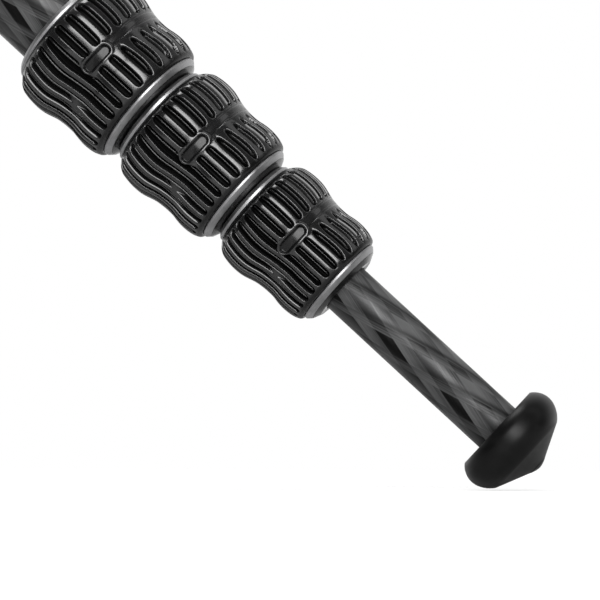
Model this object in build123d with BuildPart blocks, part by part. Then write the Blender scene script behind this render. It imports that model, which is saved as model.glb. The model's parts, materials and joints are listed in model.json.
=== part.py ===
"""Travel tripod with three four-section legs, standing on its second leg-angle stop.

The leg sections are pushed in, apart from the last one, which is part drawn out.
Origin: centre of the head platform's top face.  +Z is up and leg a opens over +X.  Millimetres.
"""
from build123d import *
import os
from math import acos, cos, degrees, radians, sin

# Leg angles from the vertical, at the two angle stops
leg_lean = 47.2
first_stop_lean = 24.0
leg_names = ("a", "b", "c")
leg_spacing = 120.0

# Carbon tubes: the foot's tube is the thinnest
foot_tube_radius = 7.5
tube_wall = 1.4
section_gaps = (0.6, 1.05, 0.6)  # radial gap between tubes 1 and 2, 2 and 3, 3 and 4
top_tube_length = 299.0
inner_tube_length = 318.0
foot_tube_length = 322.0
foot_drop = 58.4  # foot's back face below the last lock

# Fits
glue_line = 0.02
slide_clearance = 0.15
tube_clearance = 0.4
guide_clearance = 0.2
thread_clearance = 0.1
bolt_clearance = 0.05
stop_clearance = 0.3

# Twist locks; heights are above a lock's bottom face
lock_gap = 0.3
lock_length = 37.0
seal_height = 1.1
seal_slope = 2.4
flange_height = 3.1
flange_chamfer = 1.2
flange_lip = 1.0
ring_wall = 1.5
ring_floor = 3.6
ring_top = 34.5
shoulder_start = 35.1
shoulder_chamfer = 0.8
thread_wall = 1.8
nose_height = 8.0
tube_seat = 14.0
collet_bottom = 4.0
collet_wall = 1.75
collet_taper = 0.7
collet_slit = 1.2
guide_length = 25.0

# Rubber grip: how far it stands over the lock ring at each height
grip_wave = (
    (3.1, 1.3),
    (5.0, 2.9),
    (9.4, 3.45),
    (15.2, 2.85),
    (20.0, 3.25),
    (26.8, 4.65),
    (31.6, 4.2),
    (34.0, 2.2),
)
grip_top = 34.9
grip_top_rise = 1.3
groove_count = 18
groove_width = 2.2
groove_floor = 2.2
lower_grooves = (4.8, 16.0)
upper_grooves = (21.8, 33.2)

# Rubber foot; depths are below its back face
foot_radius = 16.15
foot_belly = 5.2
foot_back_radius = 13.5
foot_shoulder = (11.2, 12.7)
foot_nose = (15.6, 2.8)
foot_height = 16.4
foot_socket_depth = 6.0
foot_stud_radius = 3.0
foot_stud_length = 5.0
plug_length = 14.0

# Yoke and pivot
neck_half_width = 8.5
neck_half_height = 10.5
cup_wall = 2.4
cup_start = 28.0
cup_floor = 4.0
cup_length = 28.0
cup_chamfer = 1.2
cup_shoulder = 3.0
neck_edge = 1.6
washer_thickness = 0.5
washer_radius = 7.0
ear_thickness = 5.0
bolt_radius = 3.0
bolt_head_radius = 6.0
bolt_head_height = 2.4
bolt_socket_radius = 2.3
bolt_socket_depth = 1.4

# Angle stop: a slider on the yoke that meets the stepped rims of the ears
rim_radii = (11.2, 14.0, 17.0)
stop_half_height = 4.0
stop_contact_gap = 0.08
stop_length = 10.0
stop_bridge = 3.6
stop_key_half_height = 2.0
stop_key_depth = 1.0
stop_finger_lip = 1.5
stop_notch_count = 3
stop_notch_pitch = 1.7
stop_notch_width = 0.8
stop_notch_depth = 0.6

# Spider and its column sleeve
column_radius = 12.0
column_wall = 1.6
column_clearance = 0.3
sleeve_wall = 2.7
fold_gap = 3.65  # between a folded leg's cup and the sleeve
spider_radius = 21.0
spider_height = 35.0
spider_chamfer = 2.0
pivot_drop = 18.0
ear_root = 13.0  # where the ears start, inside the spider's body
ear_edge = 0.8
pocket_radius = 4.0
pocket_half_height = 9.0
pocket_depth = 2.4
column_lock_drop = 111.5  # column lock's bottom face below the spider's top
column_grip_scale = 0.7
key_width = 2.0
key_depth = 0.7
key_length = 30.0

# Centre column, head platform and hook
column_length = 290.0
platform_radius = 20.5
platform_height = 6.0
platform_chamfer = 1.0
platform_neck_radius = 14.0
platform_neck = 2.7
platform_gap = 0.3
platform_plug = 12.0
stud_radius = 4.76
stud_root_radius = 4.2
stud_height = 9.5
stud_depth = 13.0
stud_chamfer = 0.8
stud_countersink = 0.9
set_screw_radius = 2.0
set_screw_circle = 16.5
set_screw_length = 5.0
cap_radius = 13.2
cap_height = 4.0
cap_floor = 2.0
cap_plug = 10.0
cap_scallop_count = 8
cap_scallop_radius = 2.5
cap_scallop_depth = 0.9
hook_head_radius = 3.4
hook_head_height = 1.5
hook_cavity_radius = 4.2
hook_wire_radius = 1.6
hook_shank = 5.0
hook_neck_radius = 3.2
hook_bend_radius = 6.5
hook_sweep = 250.0

# Values that follow from the ones above
tube_radii = [foot_tube_radius]
for gap in reversed(section_gaps):
    tube_radii.insert(0, tube_radii[0] + tube_wall + gap)

cup_radius = tube_radii[0] + cup_wall
cup_bore_start = cup_start + cup_floor
column_bore = column_radius + column_clearance
sleeve_radius = column_bore + sleeve_wall
column_top = platform_height + platform_neck
column_end = column_top + column_length
spider_top = column_top + platform_gap
column_lock_bottom = spider_top + column_lock_drop

pivot_radius = sleeve_radius + fold_gap + cup_radius
pivot_depth = spider_top + pivot_drop
pivot = (pivot_radius, 0, -pivot_depth)
ear_inner = neck_half_width + washer_thickness + 2 * bolt_clearance
ear_outer = ear_inner + ear_thickness

lock_pitch = lock_length + lock_gap
first_lock_bottom = cup_bore_start + top_tube_length + tube_seat
lock_bottoms = [first_lock_bottom + lock_pitch * number for number in range(3)]
foot_back = lock_bottoms[2] + foot_drop
foot_socket_end = foot_back + foot_socket_depth
tube_ends = [bottom - tube_seat for bottom in lock_bottoms] + [foot_socket_end]
tube_starts = [
    cup_bore_start,
    tube_ends[1] - inner_tube_length,
    tube_ends[2] - inner_tube_length,
    tube_ends[3] - foot_tube_length,
]


def leg_line(lean):
    """Direction of leg a when it leans this far from the vertical."""
    return (sin(radians(lean)), 0, -cos(radians(lean)))


def section_plane(origin, direction):
    """Sketch plane through an axis: x runs along the axis and y is the radius, upwards."""
    return Plane(origin=origin, x_dir=direction, z_dir=(0, -1, 0))


def cross_plane(origin, direction):
    """Sketch plane square to an axis."""
    return Plane(origin=origin, x_dir=(0, -1, 0), z_dir=direction)


leg_section = section_plane(pivot, leg_line(leg_lean))
leg_cross = cross_plane(pivot, leg_line(leg_lean))
leg_axis = Axis(pivot, leg_line(leg_lean))
column_section = section_plane((0, 0, 0), (0, 0, -1))
column_cross = cross_plane((0, 0, 0), (0, 0, -1))
column_axis = Axis((0, 0, 0), (0, 0, -1))
pivot_section = Plane(origin=pivot, x_dir=(1, 0, 0), z_dir=(0, -1, 0))


def spider_side(angle, radius):
    """Upright sketch plane that faces outwards from the column, at the spider's middle height."""
    outwards = Vector(cos(radians(angle)), sin(radians(angle)), 0)
    middle = Vector(0, 0, -spider_top - spider_height / 2)
    return Plane(origin=outwards * radius + middle, x_dir=outwards.cross(Vector(0, 0, -1)), z_dir=outwards)


def turned(section, axis, *outline):
    """A piece turned round an axis, from a closed outline of (place along the axis, radius)."""
    with BuildPart() as piece:
        with BuildSketch(section):
            with BuildLine():
                Polyline(*outline, close=True)
            make_face()
        revolve(axis=axis)
    return piece


def plain_sleeve(section, axis, start, end, inner, outer):
    """A tube or bush between two places along an axis."""
    return turned(section, axis, (start, inner), (end, inner), (end, outer), (start, outer))


def write(name, solids):
    """Writes one node, of one solid or a group of them."""
    shape = solids[0] if len(solids) == 1 else Compound(children=solids)
    shape.label = name
    export_step(shape, f"parts/{name}.step")


def turned_copies(pieces, number):
    """The solids of leg a's pieces, turned round the column to another leg's place."""
    angle = leg_spacing * number
    return [solid.rotate(Axis.Z, angle) for piece in pieces for solid in piece.part.solids()]


def write_for_each_leg(name, *pieces):
    """Writes a node for every leg, from the pieces built on leg a."""
    for number, leg in enumerate(leg_names):
        write(f"{name}_{leg}", turned_copies(pieces, number))


class TwistLock:
    """One twist lock: an axis, its place there, the tube that it grips and its thread."""

    def __init__(self, section, cross, axis, bottom, tube_radius, thread_radius, grip_scale=1.0):
        self.section = section
        self.cross = cross
        self.axis = axis
        self.bottom = bottom
        self.thread = thread_radius
        self.thread_bore = thread_radius + thread_clearance
        self.ring = self.thread_bore + ring_wall
        self.flange = self.ring + flange_lip
        self.grip_bore = self.ring + glue_line
        self.grip_scale = grip_scale
        self.bore = tube_radius + tube_clearance
        self.collet_bore = tube_radius + slide_clearance
        self.collet_radius = self.collet_bore + collet_wall
        self.cavity = self.collet_radius + slide_clearance
        self.throat = self.cavity - collet_taper

    def turned(self, *outline):
        """A piece turned round the lock's axis, from (height above the bottom face, radius)."""
        places = [(self.bottom - height, radius) for height, radius in outline]
        return turned(self.section, self.axis, *places)

    def ring_piece(self):
        """Aluminium ring that screws on the socket; its flange shows under the rubber."""
        return self.turned(
            (seal_height, self.bore),
            (seal_height, self.flange - flange_chamfer),
            (seal_height + flange_chamfer, self.flange),
            (flange_height, self.flange),
            (flange_height, self.ring),
            (ring_top, self.ring),
            (ring_top, self.thread_bore),
            (nose_height - tube_clearance, self.thread_bore),
            (nose_height - tube_clearance, self.cavity),
            (ring_floor, self.cavity),
            (ring_floor, self.bore),
        )

    def seal_piece(self):
        """Dust seal in the end of the ring, round the inner tube."""
        return self.turned(
            (0, self.bore),
            (0, self.flange - flange_chamfer - seal_slope),
            (seal_height, self.flange - flange_chamfer),
            (seal_height, self.bore),
        )

    def socket_piece(self, tube_radius):
        """Threaded end piece glued on the outer tube; its nose closes the collet."""
        tube_bore = tube_radius + glue_line
        return self.turned(
            (nose_height, self.cavity),
            (tube_seat - glue_line, self.throat),
            (tube_seat - glue_line, tube_bore),
            (lock_length, tube_bore),
            (lock_length, self.flange - shoulder_chamfer),
            (lock_length - shoulder_chamfer, self.flange),
            (shoulder_start, self.flange),
            (shoulder_start, self.thread),
            (nose_height, self.thread),
        )

    def collet_piece(self):
        """Split collet that the ring pushes up into the socket's taper."""
        top = tube_seat - tube_clearance
        with BuildPart() as piece:
            add(
                self.turned(
                    (collet_bottom, self.collet_bore),
                    (collet_bottom, self.collet_radius),
                    (nose_height, self.collet_radius),
                    (top, self.collet_radius - collet_taper),
                    (top, self.collet_bore),
                ).part
            )
            with BuildSketch(self.cross.offset(self.bottom - top)):
                with Locations((0, self.collet_radius)):
                    Rectangle(collet_slit, self.collet_radius)
            extrude(amount=top, mode=Mode.SUBTRACT)
        return piece

    def grip_piece(self):
        """Waisted rubber grip moulded over the ring, with two rows of grooves."""
        wave = [
            (self.bottom - height, self.grip_bore + rise * self.grip_scale)
            for height, rise in grip_wave
        ]
        top = self.bottom - grip_top
        floor = self.grip_bore + groove_floor * self.grip_scale
        highest = max(radius for _, radius in wave) + 1
        with BuildPart() as piece:
            with BuildSketch(self.section):
                with BuildLine():
                    Spline(*wave)
                    Polyline(
                        wave[-1],
                        (top, self.grip_bore + grip_top_rise * self.grip_scale),
                        (top, self.grip_bore),
                        (wave[0][0], self.grip_bore),
                        wave[0],
                    )
                make_face()
            revolve(axis=self.axis)
            for low, high in (lower_grooves, upper_grooves):
                with BuildSketch(self.cross.offset(self.bottom - high)):
                    with PolarLocations((floor + highest) / 2, groove_count):
                        Rectangle(highest - floor, groove_width)
                extrude(amount=high - low, mode=Mode.SUBTRACT)
        return piece


os.makedirs("parts", exist_ok=True)

# Leg tubes with their guides, sockets, collets, lock rings and grips
for number, tube_radius in enumerate(tube_radii):
    start = tube_starts[number]
    end = tube_ends[number]
    tube_bore = tube_radius - tube_wall
    tube = plain_sleeve(leg_section, leg_axis, start, end, tube_bore, tube_radius)
    fittings = []
    if number > 0:
        guide_radius = tube_radii[number - 1] - tube_wall - guide_clearance
        guide_end = start + guide_length
        guide_bore = tube_radius + glue_line
        fittings.append(
            plain_sleeve(leg_section, leg_axis, start, guide_end, guide_bore, guide_radius)
        )
    if number == 3:
        plug_radius = tube_bore - glue_line
        foot_plug = turned(
            leg_section,
            leg_axis,
            (end - plug_length, 0),
            (end + foot_stud_length, 0),
            (end + foot_stud_length, foot_stud_radius),
            (end, foot_stud_radius),
            (end, plug_radius),
            (end - plug_length, plug_radius),
        )
        write_for_each_leg("foot_tube", tube, *fittings, foot_plug)
    else:
        lock = TwistLock(
            leg_section,
            leg_cross,
            leg_axis,
            lock_bottoms[number],
            tube_radii[number + 1],
            tube_radius + thread_wall,
        )
        fittings += [lock.socket_piece(tube_radius), lock.collet_piece()]
        write_for_each_leg(f"tube_{number + 1}", tube)
        write_for_each_leg(f"clamp_{number + 1}", *fittings)
        write_for_each_leg(f"lock_ring_{number + 1}", lock.ring_piece())
        write_for_each_leg(f"grip_{number + 1}", lock.grip_piece(), lock.seal_piece())

# Rubber foot, pushed on the end of the foot's tube and on the plug's stud
with BuildPart() as foot:
    with BuildSketch(leg_section):
        with BuildLine():
            shoulder = (foot_back + foot_shoulder[0], foot_shoulder[1])
            nose = (foot_back + foot_nose[0], foot_nose[1])
            socket_radius = foot_tube_radius + glue_line
            stud_bore = foot_stud_radius + glue_line
            stud_end = foot_socket_end + foot_stud_length + glue_line
            side = Spline(
                (foot_back, foot_back_radius),
                (foot_back + foot_belly, foot_radius),
                shoulder,
                tangents=((0.6, 0.8), (0.42, -0.91)),
            )
            cone = Line(side @ 1, nose)
            tip = Spline(cone @ 1, (foot_back + foot_height, 0), tangents=(cone % 1, (0, -1)))
            Polyline(
                tip @ 1,
                (stud_end, 0),
                (stud_end, stud_bore),
                (foot_socket_end, stud_bore),
                (foot_socket_end, socket_radius),
                (foot_back, socket_radius),
                side @ 0,
            )
        make_face()
    revolve(axis=leg_axis)
write_for_each_leg("foot", foot)

# Yoke: the casting that joins a leg to the spider
key_groove_start = rim_radii[0]
key_groove_depth = stop_key_depth + slide_clearance
neck_end = cup_start + cup_floor / 2
with BuildPart() as yoke:
    with BuildSketch(leg_section):
        Circle(neck_half_height)
        with Locations((neck_end / 2, 0)):
            Rectangle(neck_end, 2 * neck_half_height)
    extrude(amount=neck_half_width, both=True)
    fillet(yoke.faces().filter_by(Axis.Y).edges(), radius=neck_edge)
    add(
        turned(
            leg_section,
            leg_axis,
            (cup_start, 0),
            (cup_start, cup_radius - cup_shoulder),
            (cup_start + cup_shoulder, cup_radius),
            (cup_start + cup_length - cup_chamfer, cup_radius),
            (cup_start + cup_length, cup_radius - cup_chamfer),
            (cup_start + cup_length, 0),
        ).part
    )
    with BuildSketch(leg_cross.offset(cup_bore_start)):
        Circle(tube_radii[0] + glue_line)
    extrude(amount=cup_length, mode=Mode.SUBTRACT)
    with BuildSketch(leg_section):
        Circle(bolt_radius + bolt_clearance)
    extrude(amount=neck_half_width, both=True, mode=Mode.SUBTRACT)
    for side_start in (neck_half_width - key_groove_depth, -neck_half_width):
        with BuildSketch(leg_section.offset(side_start)):
            with Locations(((key_groove_start + cup_start) / 2, 0)):
                Rectangle(
                    cup_start - key_groove_start,
                    2 * (stop_key_half_height + slide_clearance),
                )
        extrude(amount=key_groove_depth, mode=Mode.SUBTRACT)
write_for_each_leg("yoke", yoke)

# Angle stop: straddles the neck, with keys in the neck's side grooves
stop_start = rim_radii[1] + stop_clearance
stop_end = stop_start + stop_length
bridge_start = rim_radii[2] + stop_clearance
bridge_base = neck_half_height + stop_clearance
bridge_top = bridge_base + stop_bridge
cheek = neck_half_width + stop_clearance
with BuildPart() as angle_stop:
    with BuildSketch(leg_section):
        with BuildLine():
            Polyline(
                (stop_start, -stop_half_height),
                (stop_start, stop_half_height),
                (bridge_start, stop_half_height),
                (bridge_start, bridge_top),
                (stop_end - stop_finger_lip, bridge_top),
                (stop_end - stop_finger_lip / 2, bridge_top + stop_finger_lip),
                (stop_end, bridge_top + stop_finger_lip),
                (stop_end, -stop_half_height),
                close=True,
            )
        make_face()
        with Locations(((bridge_start + stop_end - stop_finger_lip) / 2, bridge_top)):
            with GridLocations(stop_notch_pitch, 0, stop_notch_count, 1):
                Rectangle(stop_notch_width, 2 * stop_notch_depth, mode=Mode.SUBTRACT)
    extrude(amount=ear_outer, both=True)
    with BuildSketch(leg_section):
        with Locations(((stop_start + stop_end) / 2, 0)):
            Rectangle(2 * stop_length, 2 * bridge_base)
    extrude(amount=cheek, both=True, mode=Mode.SUBTRACT)
    for side_start in (neck_half_width - stop_key_depth, -cheek):
        with BuildSketch(leg_section.offset(side_start)):
            with Locations(((stop_start + stop_end) / 2, 0)):
                Rectangle(stop_length, 2 * stop_key_half_height)
        extrude(amount=cheek - neck_half_width + stop_key_depth)
write_for_each_leg("angle_stop", angle_stop)

# Pair of ears for one leg; each rim step is a wall that the angle stop meets
with BuildPart() as ears:
    with BuildSketch(pivot_section):
        Circle(rim_radii[0])
        reach = pivot_radius - ear_root
        with Locations((-reach / 2, (rim_radii[2] - rim_radii[0]) / 2)):
            Rectangle(reach, rim_radii[0] + rim_radii[2])
    extrude(amount=ear_outer, both=True)
    wall = stop_half_height + stop_contact_gap
    for rim_radius, lean in zip(rim_radii[1:], (first_stop_lean, leg_lean)):
        with BuildSketch(section_plane(pivot, leg_line(lean))):
            Circle(rim_radius)
            with Locations((0, wall - rim_radius)):
                Rectangle(2 * rim_radius, 2 * rim_radius, mode=Mode.SUBTRACT)
        extrude(amount=ear_outer, both=True)
    ear_sides = ears.faces().filter_by(Axis.Y)
    long_edges = ear_sides.edges().filter_by(lambda edge: edge.length > ear_thickness)
    chamfer(long_edges, length=ear_edge)
    with BuildSketch(pivot_section):
        Rectangle(4 * pivot_radius, 4 * pivot_radius)
    extrude(amount=ear_inner, both=True, mode=Mode.SUBTRACT)
    with BuildSketch(pivot_section):
        Circle(bolt_radius + glue_line)
    extrude(amount=ear_outer, both=True, mode=Mode.SUBTRACT)

# Spider: turned body and sleeve, with the ears and the key that stops the column turning
column_lock = TwistLock(
    column_section,
    column_cross,
    column_axis,
    column_lock_bottom,
    column_radius,
    sleeve_radius,
    column_grip_scale,
)
spider_bottom = spider_top + spider_height
key_reach = column_radius - key_depth + slide_clearance
with BuildPart() as spider:
    add(
        turned(
            column_section,
            column_axis,
            (spider_top, column_bore),
            (spider_top, spider_radius - spider_chamfer),
            (spider_top + spider_chamfer, spider_radius),
            (spider_bottom - spider_chamfer, spider_radius),
            (spider_bottom, spider_radius - spider_chamfer),
            (spider_bottom, sleeve_radius),
            (column_lock_bottom - lock_length, sleeve_radius),
            (column_lock_bottom - lock_length, column_lock.flange - shoulder_chamfer),
            (column_lock_bottom - lock_length + shoulder_chamfer, column_lock.flange),
            (column_lock_bottom - shoulder_start, column_lock.flange),
            (column_lock_bottom - shoulder_start, sleeve_radius),
            (column_lock_bottom - nose_height, sleeve_radius),
            (column_lock_bottom - nose_height, column_lock.cavity),
            (column_lock_bottom - tube_seat, column_lock.throat),
            (column_lock_bottom - tube_seat, column_bore),
        ).part
    )
    for number in range(len(leg_names)):
        with BuildSketch(spider_side(leg_spacing * (number + 0.5), spider_radius - pocket_depth)):
            SlotOverall(2 * pocket_half_height, 2 * pocket_radius, rotation=90)
        extrude(amount=2 * pocket_depth, mode=Mode.SUBTRACT)
    with PolarLocations(0, len(leg_names)):
        add(ears.part)
    with BuildSketch(column_cross.offset(spider_top)):
        with Locations((0, (key_reach + column_bore + glue_line) / 2)):
            Rectangle(key_width - 2 * slide_clearance, column_bore + glue_line - key_reach)
    extrude(amount=key_length)
spider.part.label = "spider"
export_step(spider.part, "parts/spider.step")

# Pivot bolts, their nuts, and the washers between the ears and the neck
with BuildPart() as pivot_bolt:
    with BuildSketch(pivot_section.offset(ear_outer)):
        Circle(bolt_head_radius)
    extrude(amount=bolt_head_height)
    chamfer(pivot_bolt.edges().group_by(Axis.Y)[0], length=0.5)
    with BuildSketch(pivot_section.offset(ear_outer + bolt_head_height)):
        RegularPolygon(bolt_socket_radius, 6)
    extrude(amount=-bolt_socket_depth, mode=Mode.SUBTRACT)
    with BuildSketch(pivot_section.offset(-ear_outer - bolt_head_height / 2)):
        Circle(bolt_radius)
    extrude(amount=2 * ear_outer + bolt_head_height / 2)

with BuildPart() as pivot_nut:
    with BuildSketch(pivot_section.offset(-ear_outer - bolt_head_height)):
        Circle(bolt_head_radius)
    extrude(amount=bolt_head_height)
    chamfer(pivot_nut.edges().group_by(Axis.Y)[-1], length=0.5)
    with BuildSketch(pivot_section.offset(-ear_outer - bolt_head_height / 2 - glue_line)):
        Circle(bolt_radius + glue_line)
    extrude(amount=bolt_head_height, mode=Mode.SUBTRACT)

with BuildPart() as pivot_washers:
    for side_start in (neck_half_width + bolt_clearance, -ear_inner + bolt_clearance):
        with BuildSketch(pivot_section.offset(side_start)):
            Circle(washer_radius)
            Circle(bolt_radius + glue_line, mode=Mode.SUBTRACT)
        extrude(amount=washer_thickness)

hardware = (pivot_bolt, pivot_nut, pivot_washers)
write("pivot_bolts", [s for n in range(3) for s in turned_copies(hardware, n)])

# Column lock
for name, pieces in (
    ("column_collet", [column_lock.collet_piece()]),
    ("column_lock_ring", [column_lock.ring_piece()]),
    ("column_grip", [column_lock.grip_piece(), column_lock.seal_piece()]),
):
    write(name, [solid for piece in pieces for solid in piece.part.solids()])

# Centre column with its key groove
with BuildPart() as column_tube:
    add(
        plain_sleeve(
            column_section,
            column_axis,
            column_top,
            column_end,
            column_radius - column_wall,
            column_radius,
        ).part
    )
    with BuildSketch(column_cross.offset(column_top)):
        with Locations((0, column_radius)):
            Rectangle(key_width, 2 * key_depth)
    extrude(amount=column_length, mode=Mode.SUBTRACT)
column_tube.part.label = "column_tube"
export_step(column_tube.part, "parts/column_tube.step")

# Head platform, its stud and the set screws that lock a head on it
column_inner = column_radius - column_wall - glue_line
with BuildPart() as head_platform:
    add(
        turned(
            column_section,
            column_axis,
            (0, 0),
            (0, platform_radius - platform_chamfer),
            (platform_chamfer, platform_radius),
            (platform_height - platform_chamfer, platform_radius),
            (platform_height, platform_radius - platform_chamfer),
            (platform_height, platform_neck_radius),
            (column_top, platform_neck_radius),
            (column_top, column_inner),
            (column_top + platform_plug, column_inner),
            (column_top + platform_plug, 0),
        ).part
    )
    with BuildSketch(column_cross):
        Circle(stud_root_radius + glue_line)
    extrude(amount=stud_depth + glue_line, mode=Mode.SUBTRACT)
    top_rims = head_platform.edges().filter_by(GeomType.CIRCLE).group_by(Axis.Z)[-1]
    chamfer(top_rims.sort_by(SortBy.RADIUS)[0], length=stud_countersink)
    with BuildSketch(column_cross):
        with PolarLocations(set_screw_circle, 3):
            Circle(set_screw_radius + glue_line)
    extrude(amount=platform_height, mode=Mode.SUBTRACT)
head_platform.part.label = "head_platform"
export_step(head_platform.part, "parts/head_platform.step")

with BuildPart() as head_stud:
    with BuildSketch(Plane.XY.offset(-stud_depth)):
        Circle(stud_root_radius)
    extrude(amount=stud_depth)
    with BuildSketch(Plane.XY):
        Circle(stud_radius)
    extrude(amount=stud_height)
    chamfer(head_stud.edges().group_by(Axis.Z)[-1], length=stud_chamfer)
head_stud.part.label = "head_stud"
export_step(head_stud.part, "parts/head_stud.step")

with BuildPart() as set_screws:
    with BuildSketch(column_cross.offset(platform_height - set_screw_length)):
        with PolarLocations(set_screw_circle, 3):
            Circle(set_screw_radius)
    extrude(amount=set_screw_length)
    with BuildSketch(column_cross.offset(platform_height)):
        with PolarLocations(set_screw_circle, 3):
            RegularPolygon(set_screw_radius / 2, 6)
    extrude(amount=-set_screw_length / 2, mode=Mode.SUBTRACT)
write("set_screws", set_screws.part.solids())

# Cap in the column's end, and the hook that swivels in it
cap_bottom = column_end + cap_height
cap_inside = cap_bottom - cap_floor
with BuildPart() as column_cap:
    add(
        turned(
            column_section,
            column_axis,
            (column_end - cap_plug, hook_cavity_radius),
            (column_end - cap_plug, column_inner),
            (column_end, column_inner),
            (column_end, cap_radius),
            (cap_bottom - platform_chamfer, cap_radius),
            (cap_bottom, cap_radius - platform_chamfer),
            (cap_bottom, hook_wire_radius + thread_clearance),
            (cap_inside, hook_wire_radius + thread_clearance),
            (cap_inside, hook_cavity_radius),
        ).part
    )
    with BuildSketch(column_cross.offset(column_end)):
        with PolarLocations(cap_radius - cap_scallop_depth + cap_scallop_radius, cap_scallop_count):
            Circle(cap_scallop_radius)
    extrude(amount=cap_height, mode=Mode.SUBTRACT)
column_cap.part.label = "column_cap"
export_step(column_cap.part, "parts/column_cap.step")

hook_head_bottom = cap_inside - slide_clearance
neck_turn = degrees(acos(hook_neck_radius / (hook_neck_radius + hook_bend_radius)))
with BuildPart() as bag_hook:
    with BuildLine(column_section):
        shank = Line((hook_head_bottom, 0), (cap_bottom + hook_shank, 0))
        neck = JernArc(shank @ 1, shank % 1, hook_neck_radius, neck_turn)
        bend = JernArc(neck @ 1, neck % 1, hook_bend_radius, -hook_sweep)
    with BuildSketch(column_cross.offset(hook_head_bottom)):
        Circle(hook_wire_radius)
    sweep()
    with BuildSketch(column_cross.offset(hook_head_bottom - hook_head_height)):
        Circle(hook_head_radius)
    extrude(amount=hook_head_height)
bag_hook.part.label = "bag_hook"
export_step(bag_hook.part, "parts/bag_hook.step")

print("lock bottoms", lock_bottoms, "foot back", foot_back)
print("pivot", pivot, "tube starts", tube_starts)
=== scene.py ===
"""Looks of a travel tripod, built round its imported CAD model.

The photograph shows the lower end of leg a: three ribbed twist locks, the foot's carbon tube and
the rubber foot.  Those pieces are modelled here at full detail for all three legs.  The rest of the
tripod keeps the CAD shapes, with rounded edges and procedural finishes.  Lengths are in metres
where a docstring doesn't say millimetres.
"""

import json
import logging
import math
from dataclasses import dataclass, field
from enum import Enum
from typing import Callable, Sequence

import bmesh
import bpy
from bpy.types import Material, Mesh, Node, NodeSocket, NodeTree, Object
from mathutils import Matrix, Vector


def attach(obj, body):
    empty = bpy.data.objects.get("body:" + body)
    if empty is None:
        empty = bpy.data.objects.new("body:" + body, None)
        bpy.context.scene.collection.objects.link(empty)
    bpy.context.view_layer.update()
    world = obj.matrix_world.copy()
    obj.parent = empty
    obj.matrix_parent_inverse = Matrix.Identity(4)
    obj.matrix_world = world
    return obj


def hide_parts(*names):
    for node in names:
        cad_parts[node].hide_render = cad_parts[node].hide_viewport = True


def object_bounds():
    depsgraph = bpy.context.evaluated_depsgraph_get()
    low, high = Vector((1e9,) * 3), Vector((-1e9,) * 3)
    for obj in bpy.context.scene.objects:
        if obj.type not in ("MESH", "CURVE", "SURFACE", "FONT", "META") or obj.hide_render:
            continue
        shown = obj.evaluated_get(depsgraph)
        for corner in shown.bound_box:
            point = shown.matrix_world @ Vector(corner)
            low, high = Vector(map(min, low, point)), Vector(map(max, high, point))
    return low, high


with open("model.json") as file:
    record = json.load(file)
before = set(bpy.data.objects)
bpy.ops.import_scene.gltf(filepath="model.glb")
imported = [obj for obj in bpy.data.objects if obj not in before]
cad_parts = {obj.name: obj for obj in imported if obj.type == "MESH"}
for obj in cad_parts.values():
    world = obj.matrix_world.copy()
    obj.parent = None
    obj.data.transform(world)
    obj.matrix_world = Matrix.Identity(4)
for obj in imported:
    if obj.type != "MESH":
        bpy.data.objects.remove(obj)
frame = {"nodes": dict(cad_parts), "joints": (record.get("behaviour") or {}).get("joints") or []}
CAD_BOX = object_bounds()

log = logging.getLogger("tripod")
MM = 0.001
RADIAN = math.pi / 180.0
ON_AXIS = 1e-9
LEGS = ("a", "b", "c")
TUBE_RADII = {1: 0.01395, 2: 0.01195, 3: 0.0095, 4: 0.0075}
Point = tuple[float, float]
Triple = tuple[float, float, float]
Face = tuple[int, ...]


class Shape(Enum):
    """How a turned outline ends."""

    RING = "closed outline, clear of the axis"
    CAP = "open outline whose ends lie on the axis"


class Slot(Enum):
    """The record's material slots."""

    GRIP = "grip_rubber"
    FOOT = "foot_rubber"
    ALUMINIUM = "satin_aluminium"
    CARBON = "carbon"
    CAST = "cast_alloy"
    ACETAL = "acetal"
    STEEL = "steel"


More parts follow.
